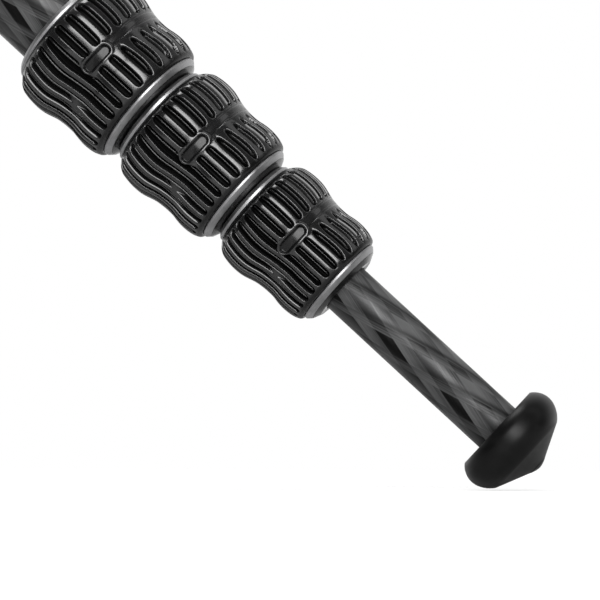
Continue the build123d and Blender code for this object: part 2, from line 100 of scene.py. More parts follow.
class Field:
    """An output of a node, which the usual operators turn into math nodes."""

    def __init__(self, tree: NodeTree, socket: NodeSocket) -> None:
        """Wraps one output socket."""
        self.tree = tree
        self.socket = socket

    def other(self, label: str) -> "Field":
        """Another output of the same node."""
        return Field(self.tree, self.socket.node.outputs[label])

    def math(self, operation: str, *others: "Field | float") -> "Field":
        """A math node on this field.

        Args:
            operation: Blender's name of the operation.
            others: the node's further inputs, fields or plain numbers.

        Returns:
            The node's result.
        """
        wires = dict(enumerate((self, *others)))
        return add_node(self.tree, "ShaderNodeMath", wires, operation=operation)

    def __add__(self, other: "Field | float") -> "Field":
        """Sum."""
        return self.math("ADD", other)

    def __sub__(self, other: "Field | float") -> "Field":
        """Difference."""
        return self.math("SUBTRACT", other)

    def __rsub__(self, number: float) -> "Field":
        """A number less this field."""
        return -self + number

    def __mul__(self, other: "Field | float") -> "Field":
        """Product."""
        return self.math("MULTIPLY", other)

    def __truediv__(self, other: "Field | float") -> "Field":
        """Quotient."""
        return self.math("DIVIDE", other)

    def __neg__(self) -> "Field":
        """Opposite."""
        return self.math("MULTIPLY", -1.0)

    def above(self, floor: "Field | float") -> "Field":
        """The larger of the two."""
        return self.math("MAXIMUM", floor)

    def below(self, ceiling: "Field | float") -> "Field":
        """The smaller of the two."""
        return self.math("MINIMUM", ceiling)

    def between(self, ends: Point) -> "Field":
        """From the first end where this field is 0 to the second where it is 1."""
        return self * (ends[1] - ends[0]) + ends[0]

    def step(self, low: float, high: float) -> "Field":
        """A smooth rise from 0 at low to 1 at high.

        Args:
            low: value where the rise starts.
            high: value where it ends.

        Returns:
            The risen field, from 0 to 1.
        """
        wires = {"Value": self, "From Min": low, "From Max": high}
        kind = "ShaderNodeMapRange"
        return add_node(self.tree, kind, wires, "Result", interpolation_type="SMOOTHSTEP")

    def bump(self, centre: float, width: float) -> "Field":
        """A bell, 1 at the centre and near 0 one width away.

        Args:
            centre: where the bell stands.
            width: its half width.

        Returns:
            The bell.
        """
        away = (self - centre) / width
        return (-(away * away) * 3.0).math("EXPONENT")


def add_node(tree: NodeTree, kind: str, wires: dict[int | str, object], output: int | str = 0,
             **settings: object) -> Field:
    """Adds a node.

    Args:
        tree: the tree that gets it.
        kind: its type.
        wires: what its inputs get, by name or place: fields or plain values.
        output: the output that is wanted.
        settings: the node's own settings, by name.

    Returns:
        The wanted output.
    """
    node = tree.nodes.new(kind)
    for label, value in settings.items():
        setattr(node, label, value)
    for place, value in wires.items():
        if isinstance(value, Field):
            tree.links.new(value.socket, node.inputs[place])
        else:
            node.inputs[place].default_value = value
    return Field(tree, node.outputs[output])


@dataclass(frozen=True)
class AxisLine:
    """A line that pieces are turned about: leg or column, with the side that azimuth 0 faces."""

    origin: Vector
    direction: Vector
    facing: Vector

    def place(self) -> Matrix:
        """Matrix from the line's own frame: z along the line, x to the facing side."""
        across = self.direction.cross(self.facing)
        turn = Matrix((self.facing, across, self.direction)).transposed()
        return Matrix.Translation(self.origin) @ turn.to_4x4()

    def spots(self, node: str) -> list[Point]:
        """Where the vertices of a CAD node lie.

        Args:
            node: the node's name.

        Returns:
            The place along the line and the radius of each.
        """
        offsets = [vertex.co - self.origin for vertex in frame["nodes"][node].data.vertices]
        along = [offset.dot(self.direction) for offset in offsets]
        return [(a, (o - self.direction * a).length) for o, a in zip(offsets, along)]

    def extent(self, node: str) -> Triple:
        """A CAD node's first and last place along the line, and its largest radius."""
        along, reach = zip(*self.spots(node))
        return min(along), max(along), max(reach)

    def inner_reach(self, node: str) -> float:
        """The smallest radius of a CAD node round the line."""
        return min(reach for _, reach in self.spots(node))


def joint_named(name: str) -> dict:
    """The record's joint of this name."""
    return next(joint for joint in frame["joints"] if joint["name"] == name)


def leg_line(number: int) -> AxisLine:
    """The axis of one leg.

    Args:
        number: 0, 1 or 2, the leg's place round the column.

    Returns:
        The line from the pivot to the foot, whose facing side is the pivot's axis.
    """
    fold = joint_named(f"leg_fold_{LEGS[number]}")
    slide = joint_named(f"section_slide_2_{LEGS[number]}")
    return AxisLine(Vector(fold["pos_m"]), Vector(slide["axis"]), Vector(fold["axis"]))


def section_body(section: int, leg: str) -> str:
    """The body of one of a leg's sections, counted from the top."""
    return f"leg_{leg}" if section == 1 else f"section_{section}_{leg}"


def rounded(corners: Sequence[Triple], closed: bool) -> list[Point]:
    """An outline whose corners are rounded.

    Args:
        corners: (along, radius, fillet) of each corner.
        closed: whether the last corner joins the first.

    Returns:
        The points of the outline.
    """
    points: list[Point] = []
    count = len(corners)
    most, steps = 0.45, 3
    for number, (along, radius, fillet) in enumerate(corners):
        here = Vector((along, radius))
        at_end = number in (0, count - 1) and not closed
        if fillet <= 0 or at_end:
            points.append((along, radius))
            continue
        before = Vector(corners[number - 1][:2]) - here
        after = Vector(corners[(number + 1) % count][:2]) - here
        half_turn = before.angle(after) / 2
        cut = min(fillet / math.tan(half_turn), most * before.length, most * after.length)
        start = here + before.normalized() * cut
        end = here + after.normalized() * cut
        for step in range(steps + 1):
            share = step / steps
            spot = start.lerp(here, share).lerp(here.lerp(end, share), share)
            points.append((spot.x, spot.y))
    return points


def smooth_through(points: Sequence[Point], spans: int) -> list[Point]:
    """A smooth curve through a few outline points.

    Args:
        points: the points that it passes.
        spans: pieces between one point and the next.

    Returns:
        The points of the curve.
    """
    curve: list[Point] = []
    last = len(points) - 1
    for number in range(last):
        near = (max(number - 1, 0), number, number + 1, min(number + 2, last))
        p0, p1, p2, p3 = (Vector(points[place]) for place in near)
        for step in range(spans):
            t = step / spans
            spot = 0.5 * (
                2 * p1 + (p2 - p0) * t + (2 * p0 - 5 * p1 + 4 * p2 - p3) * t**2
                + (3 * p1 - p0 - 3 * p2 + p3) * t**3
            )
            curve.append((spot.x, spot.y))
    curve.append(points[-1])
    return curve


def linked(name: str, data: bpy.types.ID) -> Object:
    """A new object in the scene's collection."""
    thing = bpy.data.objects.new(name, data)
    bpy.context.scene.collection.objects.link(thing)
    return thing


def plain_mesh(name: str, verts: Sequence[Triple], faces: Sequence[Face]) -> Mesh:
    """A new mesh of the given corners and faces."""
    mesh = bpy.data.meshes.new(name)
    mesh.from_pydata(verts, [], faces)
    return mesh


def grid_faces(rows: int, columns: int, spans: int) -> list[Face]:
    """Quads of a grid whose columns join up.

    Args:
        rows: rows of the grid.
        columns: corners in each row.
        spans: rows that get quads; all of them joins the last row to the first.

    Returns:
        The quads, as places of their corners.
    """
    return [
        (low + left, high + left, high + right, low + right)
        for low, high in ((row * columns, (row + 1) % rows * columns) for row in range(spans))
        for left, right in ((column, (column + 1) % columns) for column in range(columns))
    ]


def turned_mesh(name: str, outline: Sequence[Point], shape: Shape, line: AxisLine,
                segments: int, weave: Point = (1.0, 1.0)) -> Mesh:
    """A mesh turned about a line.

    Args:
        name: the mesh's name.
        outline: its (along, radius) points; along the line first, then outwards and back.
        shape: whether the outline is a ring or ends on the axis.
        line: the line that it is turned about.
        segments: columns round the line.
        weave: turns across and metres along of one unit of the UV map.

    Returns:
        The mesh, in the row frame, with a UV map of its surface.
    """
    rows = len(outline)
    poles = [radius < ON_AXIS for _, radius in outline]
    turns = [math.tau * column / segments for column in range(segments)]
    verts: list[Triple] = []
    starts: list[int] = []
    for (along, radius), pole in zip(outline, poles):
        starts.append(len(verts))
        ring = [(radius * math.cos(turn), radius * math.sin(turn), along) for turn in turns]
        verts += [(0.0, 0.0, along)] if pole else ring
    arc = [0.0]
    for here, after in zip(outline, [*outline[1:], outline[0]]):
        arc.append(arc[-1] + math.dist(here, after))
    faces: list[Face] = []
    uvs: list[Point] = []
    for row in range(rows if shape is Shape.RING else rows - 1):
        for column in range(segments):
            corners = [(row, column), (row + 1, column), (row + 1, column + 1), (row, column + 1)]
            if poles[row]:
                corners.pop(3)
            elif poles[(row + 1) % rows]:
                corners.pop(2)
            places = [(r % rows, c % segments) for r, c in corners]
            faces.append(tuple(starts[r] + (0 if poles[r] else c) for r, c in places))
            uvs += [(c / segments * weave[0], arc[r] / weave[1]) for r, c in corners]
    mesh = plain_mesh(name, verts, faces)
    layer = mesh.uv_layers.new(name="surface")
    for loop, uv in zip(layer.data, uvs):
        loop.uv = uv
    mesh.transform(line.place())
    mesh.shade_smooth()
    return mesh


def outward(mesh: Mesh) -> Mesh:
    """Turns the faces of a closed mesh outwards.

    Args:
        mesh: the mesh to test by its signed volume.

    Returns:
        The same mesh.
    """
    volume = 0.0
    for polygon in mesh.polygons:
        corners = [mesh.vertices[index].co for index in polygon.vertices]
        for second, third in zip(corners[1:], corners[2:]):
            volume += corners[0].dot(second.cross(third))
    if volume < 0:
        mesh.flip_normals()
    return mesh


def turned_solid(name: str, line: AxisLine, corners: Sequence[Triple], segments: int = 64,
                 shape: Shape = Shape.RING) -> Mesh:
    """A turned part from the corners of its outline.

    Args:
        name: the mesh's name.
        line: the line that it is turned about.
        corners: (along, radius, fillet) of each corner, in millimetres.
        segments: columns round the line.
        shape: whether the outline is a ring or ends on the axis.

    Returns:
        The mesh, in the row frame.
    """
    scaled = [(along * MM, radius * MM, fillet * MM) for along, radius, fillet in corners]
    outline = rounded(scaled, shape is Shape.RING)
    return outward(turned_mesh(name, outline, shape, line, segments))


def new_group(name: str, kind: str, inputs: Sequence[tuple[str, str, object]],
              outputs: Sequence[tuple[str, str]]) -> tuple[NodeTree, dict[str, Field], Node]:
    """A node group with named sockets.

    Args:
        name: the group's name.
        kind: the tree's type.
        inputs: (name, socket type, default or None) of each input.
        outputs: (name, socket type) of each output.

    Returns:
        The tree, its inputs as fields by name, and its output node.
    """
    tree = bpy.data.node_groups.new(name, kind)
    for label, socket_type, default in inputs:
        socket = tree.interface.new_socket(name=label, in_out="INPUT", socket_type=socket_type)
        if default is not None:
            socket.default_value = default
    for label, socket_type in outputs:
        tree.interface.new_socket(name=label, in_out="OUTPUT", socket_type=socket_type)
    source = tree.nodes.new("NodeGroupInput")
    fields = {label: Field(tree, source.outputs[label]) for label, _, _ in inputs}
    return tree, fields, tree.nodes.new("NodeGroupOutput")


def shader_group(name: str, inputs: dict[str, float], outputs: Sequence[str],
                 fill: Callable[[dict[str, Field]], dict[str, Field]]) -> NodeTree:
    """A shader group of numbers, built once and then reused.

    Args:
        name: the group's name.
        inputs: its numbers and their defaults; a vector input named Place is always added.
        outputs: the names of its results.
        fill: builds the nodes and gives the results by name.

    Returns:
        The group.
    """
    if name in bpy.data.node_groups:
        return bpy.data.node_groups[name]
    sockets = [("Place", "NodeSocketVector", None)]
    sockets += [(label, "NodeSocketFloat", default) for label, default in inputs.items()]
    results = [(label, "NodeSocketFloat") for label in outputs]
    tree, fields, sink = new_group(name, "ShaderNodeTree", sockets, results)
    for label, result in fill(fields).items():
        tree.links.new(result.socket, sink.inputs[label])
    return tree


def noise(place: Field, scale: float, detail: float) -> Field:
    """Noise from 0 to 1 at a scale in 1/m."""
    wires = {"Vector": place, "Scale": scale, "Detail": detail}
    return add_node(place.tree, "ShaderNodeTexNoise", wires, "Fac")


def fine_grain(inputs: dict[str, Field]) -> dict[str, Field]:
    """Fills the grain group: a moulded skin's pits and its slow mottling.

    Args:
        inputs: the group's inputs by name.

    Returns:
        Its results by name.
    """
    pits = noise(inputs["Place"], 2600.0, 3.0)
    mottle = noise(inputs["Place"], 160.0, 3.0)
    return {
        "Height": pits * inputs["Pits"] + mottle * inputs["Swell"],
        "Mottle": mottle.step(0.3, 0.7),
        "Speckle": pits.step(0.56, 0.7),
    }


def turning_lines(inputs: dict[str, Field]) -> dict[str, Field]:
    """Fills the lathe group: fine lines across the second coordinate of Place.

    Args:
        inputs: the group's inputs by name.

    Returns:
        Its results by name.
    """
    place = inputs["Place"]
    wires = {0: place, 1: (0.0, 9000.0, 0.0)}
    squeezed = add_node(place.tree, "ShaderNodeVectorMath", wires, operation="MULTIPLY")
    lines = noise(squeezed, 1.0, 2.0)
    return {"Height": lines * inputs["Depth"], "Lines": lines.step(0.35, 0.65)}


class Wiring:
    """The nodes of one material, with the Principled shader that they feed."""

    def __init__(self, tree: NodeTree) -> None:
        """Takes a new material's tree."""
        self.tree = tree
        self.shader = tree.nodes["Principled BSDF"]

    def constants(self, numbers: dict[str, float]) -> None:
        """Sets sockets of the shader that are the same all over."""
        for socket, number in numbers.items():
            self.shader.inputs[socket].default_value = number

    def feed(self, socket: str, value: Field) -> None:
        """Feeds one socket of the shader."""
        self.tree.links.new(value.socket, self.shader.inputs[socket])

    def colour(self, share: Field, low: Triple, high: Triple) -> None:
        """Feeds a base colour that goes from low to high with a field."""
        wires = {0: share, 6: (*low, 1.0), 7: (*high, 1.0)}
        self.feed("Base Color", add_node(self.tree, "ShaderNodeMix", wires, 2, data_type="RGBA"))

    def relief(self, height: Field, distance: float) -> None:
        """Feeds a height to the shader's normal."""
        wires = {"Distance": distance, "Strength": 1.0, "Height": height}
        self.feed("Normal", add_node(self.tree, "ShaderNodeBump", wires))

    def place(self, kind: str) -> Field:
        """Coordinates on the piece: Object or UV."""
        return add_node(self.tree, "ShaderNodeTexCoord", {}, kind)

    def attribute(self, label: str) -> Field:
        """A named attribute of the mesh."""
        return add_node(self.tree, "ShaderNodeAttribute", {}, "Fac", attribute_name=label)

    def group(self, group: NodeTree, place: Field, **numbers: float) -> dict[str, Field]:
        """Places a shader group.

        Args:
            group: the group to place.
            place: the coordinates that it reads.
            numbers: values of its named inputs.

        Returns:
            The group's outputs by name.
        """
        wires = {"Place": place, **numbers}
        first = add_node(self.tree, "ShaderNodeGroup", wires, node_tree=group)
        return {socket.name: first.other(socket.name) for socket in first.socket.node.outputs}

    def grain(self, pits: float, swell: float) -> dict[str, Field]:
        """The moulded grain, shared by rubber, plastic, paint and the smudges on metal."""
        outputs = ("Height", "Mottle", "Speckle")
        group = shader_group("fine_grain", {"Pits": 1.0, "Swell": 0.5}, outputs, fine_grain)
        return self.group(group, self.place("Object"), Pits=pits, Swell=swell)

    def lathe(self, place: Field) -> dict[str, Field]:
        """The turning lines, shared by the metals."""
        group = shader_group("turning_lines", {"Depth": 1.0}, ("Height", "Lines"), turning_lines)
        return self.group(group, place)


class Finish:
    """Base of the finishes: a material with one Principled shader."""

    label: str

    def build(self) -> Material:
        """Builds the material on first use.

        Returns:
            The material, the same for every piece.
        """
        if self.label in bpy.data.materials:
            return bpy.data.materials[self.label]
        material = bpy.data.materials.new(self.label)
        material.use_nodes = True
        self.wire(Wiring(material.node_tree))
        return material

    def wire(self, nodes: Wiring) -> None:
        """Sets the shader's sockets and wires its patterns."""
        raise NotImplementedError


@dataclass(frozen=True)
class GripRubber(Finish):
    """Moulded rubber: a painted shade makes the grooves near black, and the lands carry a worn
    sheen.
    """

    label: str = "grip_rubber_black"
    # The groove colour is a painted shade in the recesses; the land colour is the rubber's own.
    groove: Triple = (0.0012, 0.0012, 0.0012)
    land: Triple = (0.007, 0.007, 0.0073)
    roughness: Point = (0.45, 0.60)
    sheen: Point = (0.75, 1.0)
    sheen_roughness: float = 0.165
    sheen_ior: float = 1.85
    specular: float = 0.06
    grain_depth: float = 0.000007

    def wire(self, nodes: Wiring) -> None:
        """Colour and coat from the relief, painted shade where low; roughness and bump from the
        grain.

        Args:
            nodes: the material's nodes.
        """
        # Low relief takes the groove colour, a painted shade; the lands' mottle is the rubber's own
        # tone.
        land = nodes.attribute("relief").step(0.15, 1.0)
        grain = nodes.grain(0.7, 0.5)
        nodes.colour(land * (grain["Mottle"] * 0.4 + 0.7), self.groove, self.land)
        nodes.feed("Roughness", grain["Mottle"].between(self.roughness))
        nodes.feed("Coat Weight", land * grain["Speckle"].between(self.sheen))
        nodes.constants({"Coat Roughness": self.sheen_roughness, "Coat IOR": self.sheen_ior})
        nodes.constants({"Specular IOR Level": self.specular})
        nodes.relief(grain["Height"], self.grain_depth)


@dataclass(frozen=True)
class MouldedSkin(Finish):
    """A dark skin with grain: smooth rubber, plastic or a paint coat."""

    label: str
    dark: Triple
    light: Triple
    roughness: Point
    pattern: str = "Mottle"
    pits: float = 0.2
    swell: float = 0.2
    grain_depth: float = 0.0
    specular: float = 0.5

    def wire(self, nodes: Wiring) -> None:
        """Pattern in the colour, mottled roughness, and the grain's bump where it has a depth.

        Args:
            nodes: the material's nodes.
        """
        grain = nodes.grain(self.pits, self.swell)
        nodes.constants({"Specular IOR Level": self.specular})
        nodes.colour(grain[self.pattern], self.dark, self.light)
        nodes.feed("Roughness", grain["Mottle"].between(self.roughness))
        if self.grain_depth:
            nodes.relief(grain["Height"], self.grain_depth)


@dataclass(frozen=True)
class TurnedMetal(Finish):
    """Turned metal with lathe lines round it.  Wear: shares of smudges and lines, and the least."""

    label: str = "satin_aluminium_turned"
    colour: Triple = (0.29, 0.29, 0.295)
    worn: Triple = (0.50, 0.50, 0.505)
    roughness: Point = (0.36, 0.50)
    wear: Triple = (0.6, 0.4, 0.0)
    line_depth: float = 0.000012

    def across(self, nodes: Wiring) -> Field:
        """Coordinates whose second one crosses the lines: the UV map of a turned surface."""
        return nodes.place("UV")

    def wire(self, nodes: Wiring) -> None:
        """Lines and smudges in colour and roughness, lines in the bump.

        Args:
            nodes: the material's nodes.
        """
        nodes.constants({"Metallic": 1.0})
        lines = nodes.lathe(self.across(nodes))
        smudges, cuts, least = self.wear
        wear = nodes.grain(0.3, 0.2)["Mottle"] * smudges + lines["Lines"] * cuts + least
        nodes.colour(wear, self.colour, self.worn)
        nodes.feed("Roughness", wear.between(self.roughness))
        nodes.relief(lines["Height"], self.line_depth)


@dataclass(frozen=True)
class FacedMetal(TurnedMetal):
    """Blackened metal of the stud and of the pieces that keep their CAD shape."""

    label: str = "steel_blackened"
    colour: Triple = (0.20, 0.20, 0.21)
    worn: Triple = (0.34, 0.34, 0.35)
    roughness: Point = (0.30, 0.42)
    wear: Triple = (0.25, 0.5, 0.1)

    def across(self, nodes: Wiring) -> Field:
        """Coordinates for cutter marks round the column's axis.

        Args:
            nodes: the material's nodes.

        Returns:
            The coordinates, the second of which grows outwards and upwards.
        """
        split = add_node(nodes.tree, "ShaderNodeSeparateXYZ", {0: nodes.place("Object")})
        x, y, z = (split.other(axis) for axis in "XYZ")
        outwards = (x * x + y * y).math("SQRT") + z * 0.7
        return add_node(nodes.tree, "ShaderNodeCombineXYZ", {"Y": outwards})


@dataclass(frozen=True)
class WoundCarbon(Finish):
    """Lacquered carbon: flat tows wound in two crossing spirals over a dark core.

    The shares are how much of a tow's pitch each spiral covers.  The turns, of 1 round the tube,
    are where the painted light and shade on the bare core is darkest and where a painted shadow
    lies beside the top tows.  Each tow also carries a painted shading across its width.
    """

    label: str = "wound_carbon"
    core: Triple = (0.003, 0.003, 0.003)
    light: Triple = (0.125, 0.126, 0.127)
    top_share: float = 0.36
    under_share: float = 0.54
    top_tone: float = 0.28
    crossing_tone: float = 0.24
    under_tone: float = 0.54
    core_painted_light: float = 0.4
    fibre_tone: float = 0.9
    shade_depth: float = 0.74
    start: Point = (-0.03, 0.34)
    core_painted_shade_turn: float = 0.075
    shaded_turn: float = -0.125
    lacquer_roughness: float = 0.26
    tow_depth: float = 0.00003
    strand_scale: Triple = (22.0, 1.3, 3.7)

    def wire(self, nodes: Wiring) -> None:
        """Tows from the UV map: one unit is one tow across and one lead along.

        Args:
            nodes: the material's nodes.
        """
        uv = add_node(nodes.tree, "ShaderNodeSeparateXYZ", {0: nodes.place("UV")})
        across, along = uv + self.start[0], uv.other("Y") + self.start[1]
        covers, tow_painted_shading, fibres, offsets = [], [], [], []
        for spiral, share in ((across + along, self.top_share), (across - along, self.under_share)):
            offset = spiral.math("FRACT") - 0.5
            offsets.append(offset)
            covers.append((share / 2 - offset.math("ABSOLUTE")).step(-0.015, 0.015))
            # Painted shading across each tow: lighter at one edge, darker at the other
            tow_painted_shading.append((offset / (share / 2)).step(-1.0, 1.0) - 0.5)
            spots = zip("XYZ", (offset, along, spiral.math("FLOOR")), self.strand_scale)
            wires = {axis: spot * scale for axis, spot, scale in spots}
            strands = add_node(nodes.tree, "ShaderNodeCombineXYZ", wires)
            fibres.append(noise(strands, 1.0, 3.0) - 0.5)
        top, under = covers
        bare = 1.0 - top
        turn = uv / nodes.attribute("tows")
        # Painted light and shade on the bare core: it lightens and darkens in three waves round the
        # tube
        core = (1.0 - ((turn - self.core_painted_shade_turn) * (math.tau * 3)).math("COSINE")) * self.core_painted_light
        # A painted shadow beside each top tow, on the side of the tube round the shaded turn
        shade = ((turn - self.shaded_turn) * math.tau).math("COSINE").step(0.1, 1.0)
        tow_edge_painted_shadow = offsets[0].bump(-0.5 * self.top_share - 0.09, 0.2)
        # The tows' tones carry the painted shading across each tow
        under_tone = tow_painted_shading[1] * 0.35 + self.under_tone + fibres[1] * self.fibre_tone
        tone = top * self.top_tone + top * under * self.crossing_tone + bare * under * under_tone
        tone = tone + bare * (1.0 - under) * (core + fibres[1] * 0.1)
        tone = tone + top * (tow_painted_shading[0] * 0.20 + fibres[0] * self.fibre_tone)
        tone = tone * (1.0 - tow_edge_painted_shadow * shade * self.shade_depth)
        nodes.colour(tone.above(0.0), self.core, self.light)
        nodes.feed("Roughness", (1.0 - tone) * 0.12 + 0.34)
        nodes.feed("Coat Weight", tone.above(0.0) * 0.55 + 0.06)
        nodes.constants({"Specular IOR Level": 0.06, "Coat Roughness": self.lacquer_roughness})
        nodes.relief(top + under * 0.5 + fibres[0] * 0.3, self.tow_depth)


GRIP_RUBBER = GripRubber()
FOOT_RUBBER = MouldedSkin(
    "foot_rubber_black", (0.003, 0.003, 0.003), (0.006, 0.006, 0.006), (0.32, 0.42),
    pits=0.6, swell=0.6, grain_depth=0.000008, specular=0.19,
)
CAST_COAT = MouldedSkin(
    "casting_black_coat", (0.016, 0.016, 0.017), (0.034, 0.034, 0.036), (0.34, 0.46),
    pattern="Speckle", pits=1.0, swell=0.6, grain_depth=0.00012,
)
ACETAL = MouldedSkin("acetal_black", (0.018, 0.018, 0.018), (0.026, 0.026, 0.026), (0.4, 0.5))
SEAL_GLOSS = MouldedSkin(
    "seal_black_gloss", (0.004, 0.004, 0.004), (0.012, 0.012, 0.012), (0.18, 0.28), "Speckle"
)
SATIN_METAL = TurnedMetal()
BLACK_METAL = FacedMetal()
CARBON = WoundCarbon()


def add_piece(name: str, mesh: Mesh, finish: Finish, slot: Slot, body: str, *nodes: str) -> None:
    """Args:
        name: the piece's name.
        mesh: its mesh, in the row frame.
        finish: its finish, for a mesh that has no material yet.
        slot: the record's slot that the finish stands for; not used.
        body: the CAD body that carries it.
        nodes: the CAD nodes that it replaces.
    """
    piece = linked(name, mesh)
    if not mesh.materials:
        mesh.materials.append(finish.build())
    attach(piece, body)
    if nodes:
        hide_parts(*nodes)
    log.info("%s: %d faces on %s", name, len(mesh.polygons), body)


class GripSkin:
    """How deep a grip's skin is pressed in.  Lengths in millimetres, angles in degrees.

    A pair is where a smooth rise starts and ends; the ridge's walls are in shares of a rib.
    """

    flow_starts = (14.0, 19.0)
    flow_ends = (84.0, 89.0)
    flow_past_belt = 14.0
    flow_widening = 0.07
    point_height = (18.0, 19.0)
    point_angle = (9.0, 18.0)
    point_stretch = 2.6
    groove_wall = (0.0, 0.18)
    edge_roll = 0.11
    edge_width = 0.22
    ridge_near_wall = (-0.225, -0.165)
    ridge_far_wall = (-0.02, -0.08)
    ridge_ends = (0.1, 0.5)
    patch_centre = (26.0, 18.6)
    patch_slant = 0.14
    patch_half_height = 5.2
    patch_bell = (46.0, 19.0)
    belt_line_width = 0.42
    belt_line_depth = 0.4
    pill_half_length = 3.3
    pill_face = (1.3, 1.6)
    pill_frame = (2.0, 2.5)
    frame_width = 0.75
    frame_rise = 0.28

    def __init__(self, inputs: dict[str, Field], height: Field, turn: Field) -> None:
        """Lays out the ribs; a groove's middle is at each whole number and a half of turn.

        Args:
            inputs: the relief tree's inputs by name.
            height: height above the lock's bottom face.
            turn: place round the grip, counted in ribs.
        """
        rib_angle = inputs["Rib Count"].math("POWER", -1.0) * 360.0
        self.inputs = inputs
        self.height = height
        self.straight = turn * rib_angle + inputs["First Rib Angle"]
        self.degrees = (self.straight + 90.0).math("FLOORED_MODULO", 180.0) - 90.0
        self.cell = turn.math("FRACT") - 0.5
        self.pitch = inputs["Mean Radius"] * rib_angle * RADIAN
        ended = self.degrees.step(*self.flow_ends)
        self.flowing = self.degrees.step(*self.flow_starts) * (1.0 - ended)
        self.lift = height - inputs["Belt Height"]

    def groove_inside(self, half_width: Field) -> Field:
        """How far a place lies inside its groove.

        Args:
            half_width: half the groove's width.

        Returns:
            The distance from the groove's edge, below 0 outside it.
        """
        inputs, height = self.inputs, self.height
        belt = self.lift.math("ABSOLUTE") - inputs["Belt Half Width"]
        belt = belt + self.flowing * self.flow_past_belt
        to_end = (height - inputs["Lower End"]).below(inputs["Upper End"] - height).below(belt)

        # Groove ends are round above the belt, and run out to a point below it away from the pad
        below_belt = 1.0 - height.step(*self.point_height)
        beside = (self.degrees - inputs["Pad Angle"]).math("ABSOLUTE").step(*self.point_angle)
        beside = beside * (1.0 - self.flowing)
        reach = half_width * (below_belt * beside * self.point_stretch + 1.0)
        short = (half_width - to_end * half_width / reach).above(0.0)
        across = self.cell * self.pitch
        return half_width - (across * across + short * short).math("SQRT")

    def grooves(self) -> Field:
        """Two rows of grooves, which a belt parts but on the side where they flow past the waist.

        Returns:
            How deep they press, less the ridge in each, their rolled edges and a bare patch.
        """
        share = self.inputs["Groove Share"] + self.flowing * self.flow_widening
        half_width = share * self.pitch * 0.5
        inside = self.groove_inside(half_width)
        rolled = inside.below(0.0).bump(0.0, self.edge_width) * self.edge_roll
        ridge = self.cell.step(*self.ridge_near_wall) * self.cell.step(*self.ridge_far_wall)
        ridge = ridge * inside.step(*self.ridge_ends) * self.inputs["Ridge Height"]
        angle, middle = self.patch_centre
        slanted = self.height + (self.degrees - angle) * self.patch_slant - middle
        fade = (slanted / self.patch_half_height).math("POWER", 2.0) * -2.5
        patch = self.degrees.bump(*self.patch_bell) * fade.math("EXPONENT")
        pressed = inside.step(*self.groove_wall) * self.inputs["Groove Depth"] + rolled - ridge
        return pressed * (1.0 - patch)

    def belt_edges(self) -> Field:
        """The belt's edges: two shallow lines on the side away from the flowing ribs."""
        width = self.belt_line_width
        lines = (self.lift - 1.65).bump(0.0, width) + (self.lift + 0.5).bump(0.0, width)
        there = lines * self.degrees.step(-14.0, -20.0) * self.degrees.step(-88.0, -76.0)
        return there * self.belt_line_depth

    def with_pill(self, press: Field) -> Field:
        """Adds the pad on the belt: a bare pill in a raised frame.

        Args:
            press: how deep the rest is pressed.

        Returns:
            How deep the skin is pressed with the pill.
        """
        arc = (self.degrees - self.inputs["Pad Angle"]) * self.inputs["Mean Radius"] * RADIAN
        stretch = (arc.math("ABSOLUTE") - self.pill_half_length).above(0.0)
        pill = (stretch * stretch + self.lift * self.lift).math("SQRT")
        press = press * pill.step(*self.pill_frame) + (1.0 - pill.step(*self.pill_face))
        return press - pill.bump(self.pill_frame[0], self.frame_width) * self.frame_rise


def grip_relief_tree() -> NodeTree:
    """The geometry tree that presses the grooves into a grip.

    Returns:
        The tree.  It reads the height, turn, radius and outer attributes of a plain grip, moves
        each point along its radius, and stores how far it stands out as relief, lowered at the
        grip's two margins as a painted shade.
    """
    name = "grip_relief"
    if name in bpy.data.node_groups:
        return bpy.data.node_groups[name]
    sizes = {
        "Rib Count": 30.0, "First Rib Angle": -1.8, "Mean Radius": 16.0, "Groove Share": 0.63,
        "Groove Depth": 2.0, "Ridge Height": 1.6, "Lower End": 4.5, "Upper End": 33.7,
        "Belt Height": 18.9, "Belt Half Width": 2.3, "Pad Angle": 1.0,
    }
    sockets = [("Geometry", "NodeSocketGeometry", None), ("Material", "NodeSocketMaterial", None)]
    sockets += [(label, "NodeSocketFloat", size) for label, size in sizes.items()]
    results = [("Geometry", "NodeSocketGeometry")]
    tree, inputs, sink = new_group(name, "GeometryNodeTree", sockets, results)
    kind = "GeometryNodeInputNamedAttribute"
    height, turn, radius, outer = (
        add_node(tree, kind, {"Name": label}, "Attribute", data_type="FLOAT")
        for label in ("height", "turn", "radius", "outer")
    )
    skin = GripSkin(inputs, height, turn)
    lowered = skin.with_pill(skin.grooves() + skin.belt_edges()) * outer
    sway = ((height - 3.0) * (math.tau / 26.0)).math("SINE") * skin.flowing * -1.2
    reach = (radius - lowered) * MM
    angle = (skin.straight + sway) * RADIAN
    wires = {"X": reach * angle.math("COSINE"), "Y": reach * angle.math("SINE"), "Z": height * -MM}
    place = add_node(tree, "ShaderNodeCombineXYZ", wires)

    # The stored relief is lower at the grip's two margins: a painted shade beside the flange and
    # the shoulder, which darkens the colour and thins the coat there
    clear_of_painted_shade = (height - inputs["Lower End"]).step(-0.4, 0.5)
    clear_of_painted_shade = clear_of_painted_shade * (inputs["Upper End"] - height).step(-0.7, 0.2)
    # Painted shade: the relief, and so the colour and coat, drops at the two margins
    stands = (1.0 - lowered / inputs["Groove Depth"]) - (1.0 - clear_of_painted_shade) * outer * 0.45
    wires = {"Geometry": inputs["Geometry"], "Position": place}
    shaped = add_node(tree, "GeometryNodeSetPosition", wires)
    wires = {"Geometry": shaped, "Name": "relief", "Value": stands}
    shaped = add_node(tree, "GeometryNodeStoreNamedAttribute", wires, data_type="FLOAT")
    shaped = add_node(tree, "GeometryNodeRealizeInstances", {0: shaped})
    wires = {"Geometry": shaped, "Material": inputs["Material"]}
    shaped = add_node(tree, "GeometryNodeSetMaterial", wires)
    tree.links.new(shaped.socket, sink.inputs["Geometry"])
    return tree


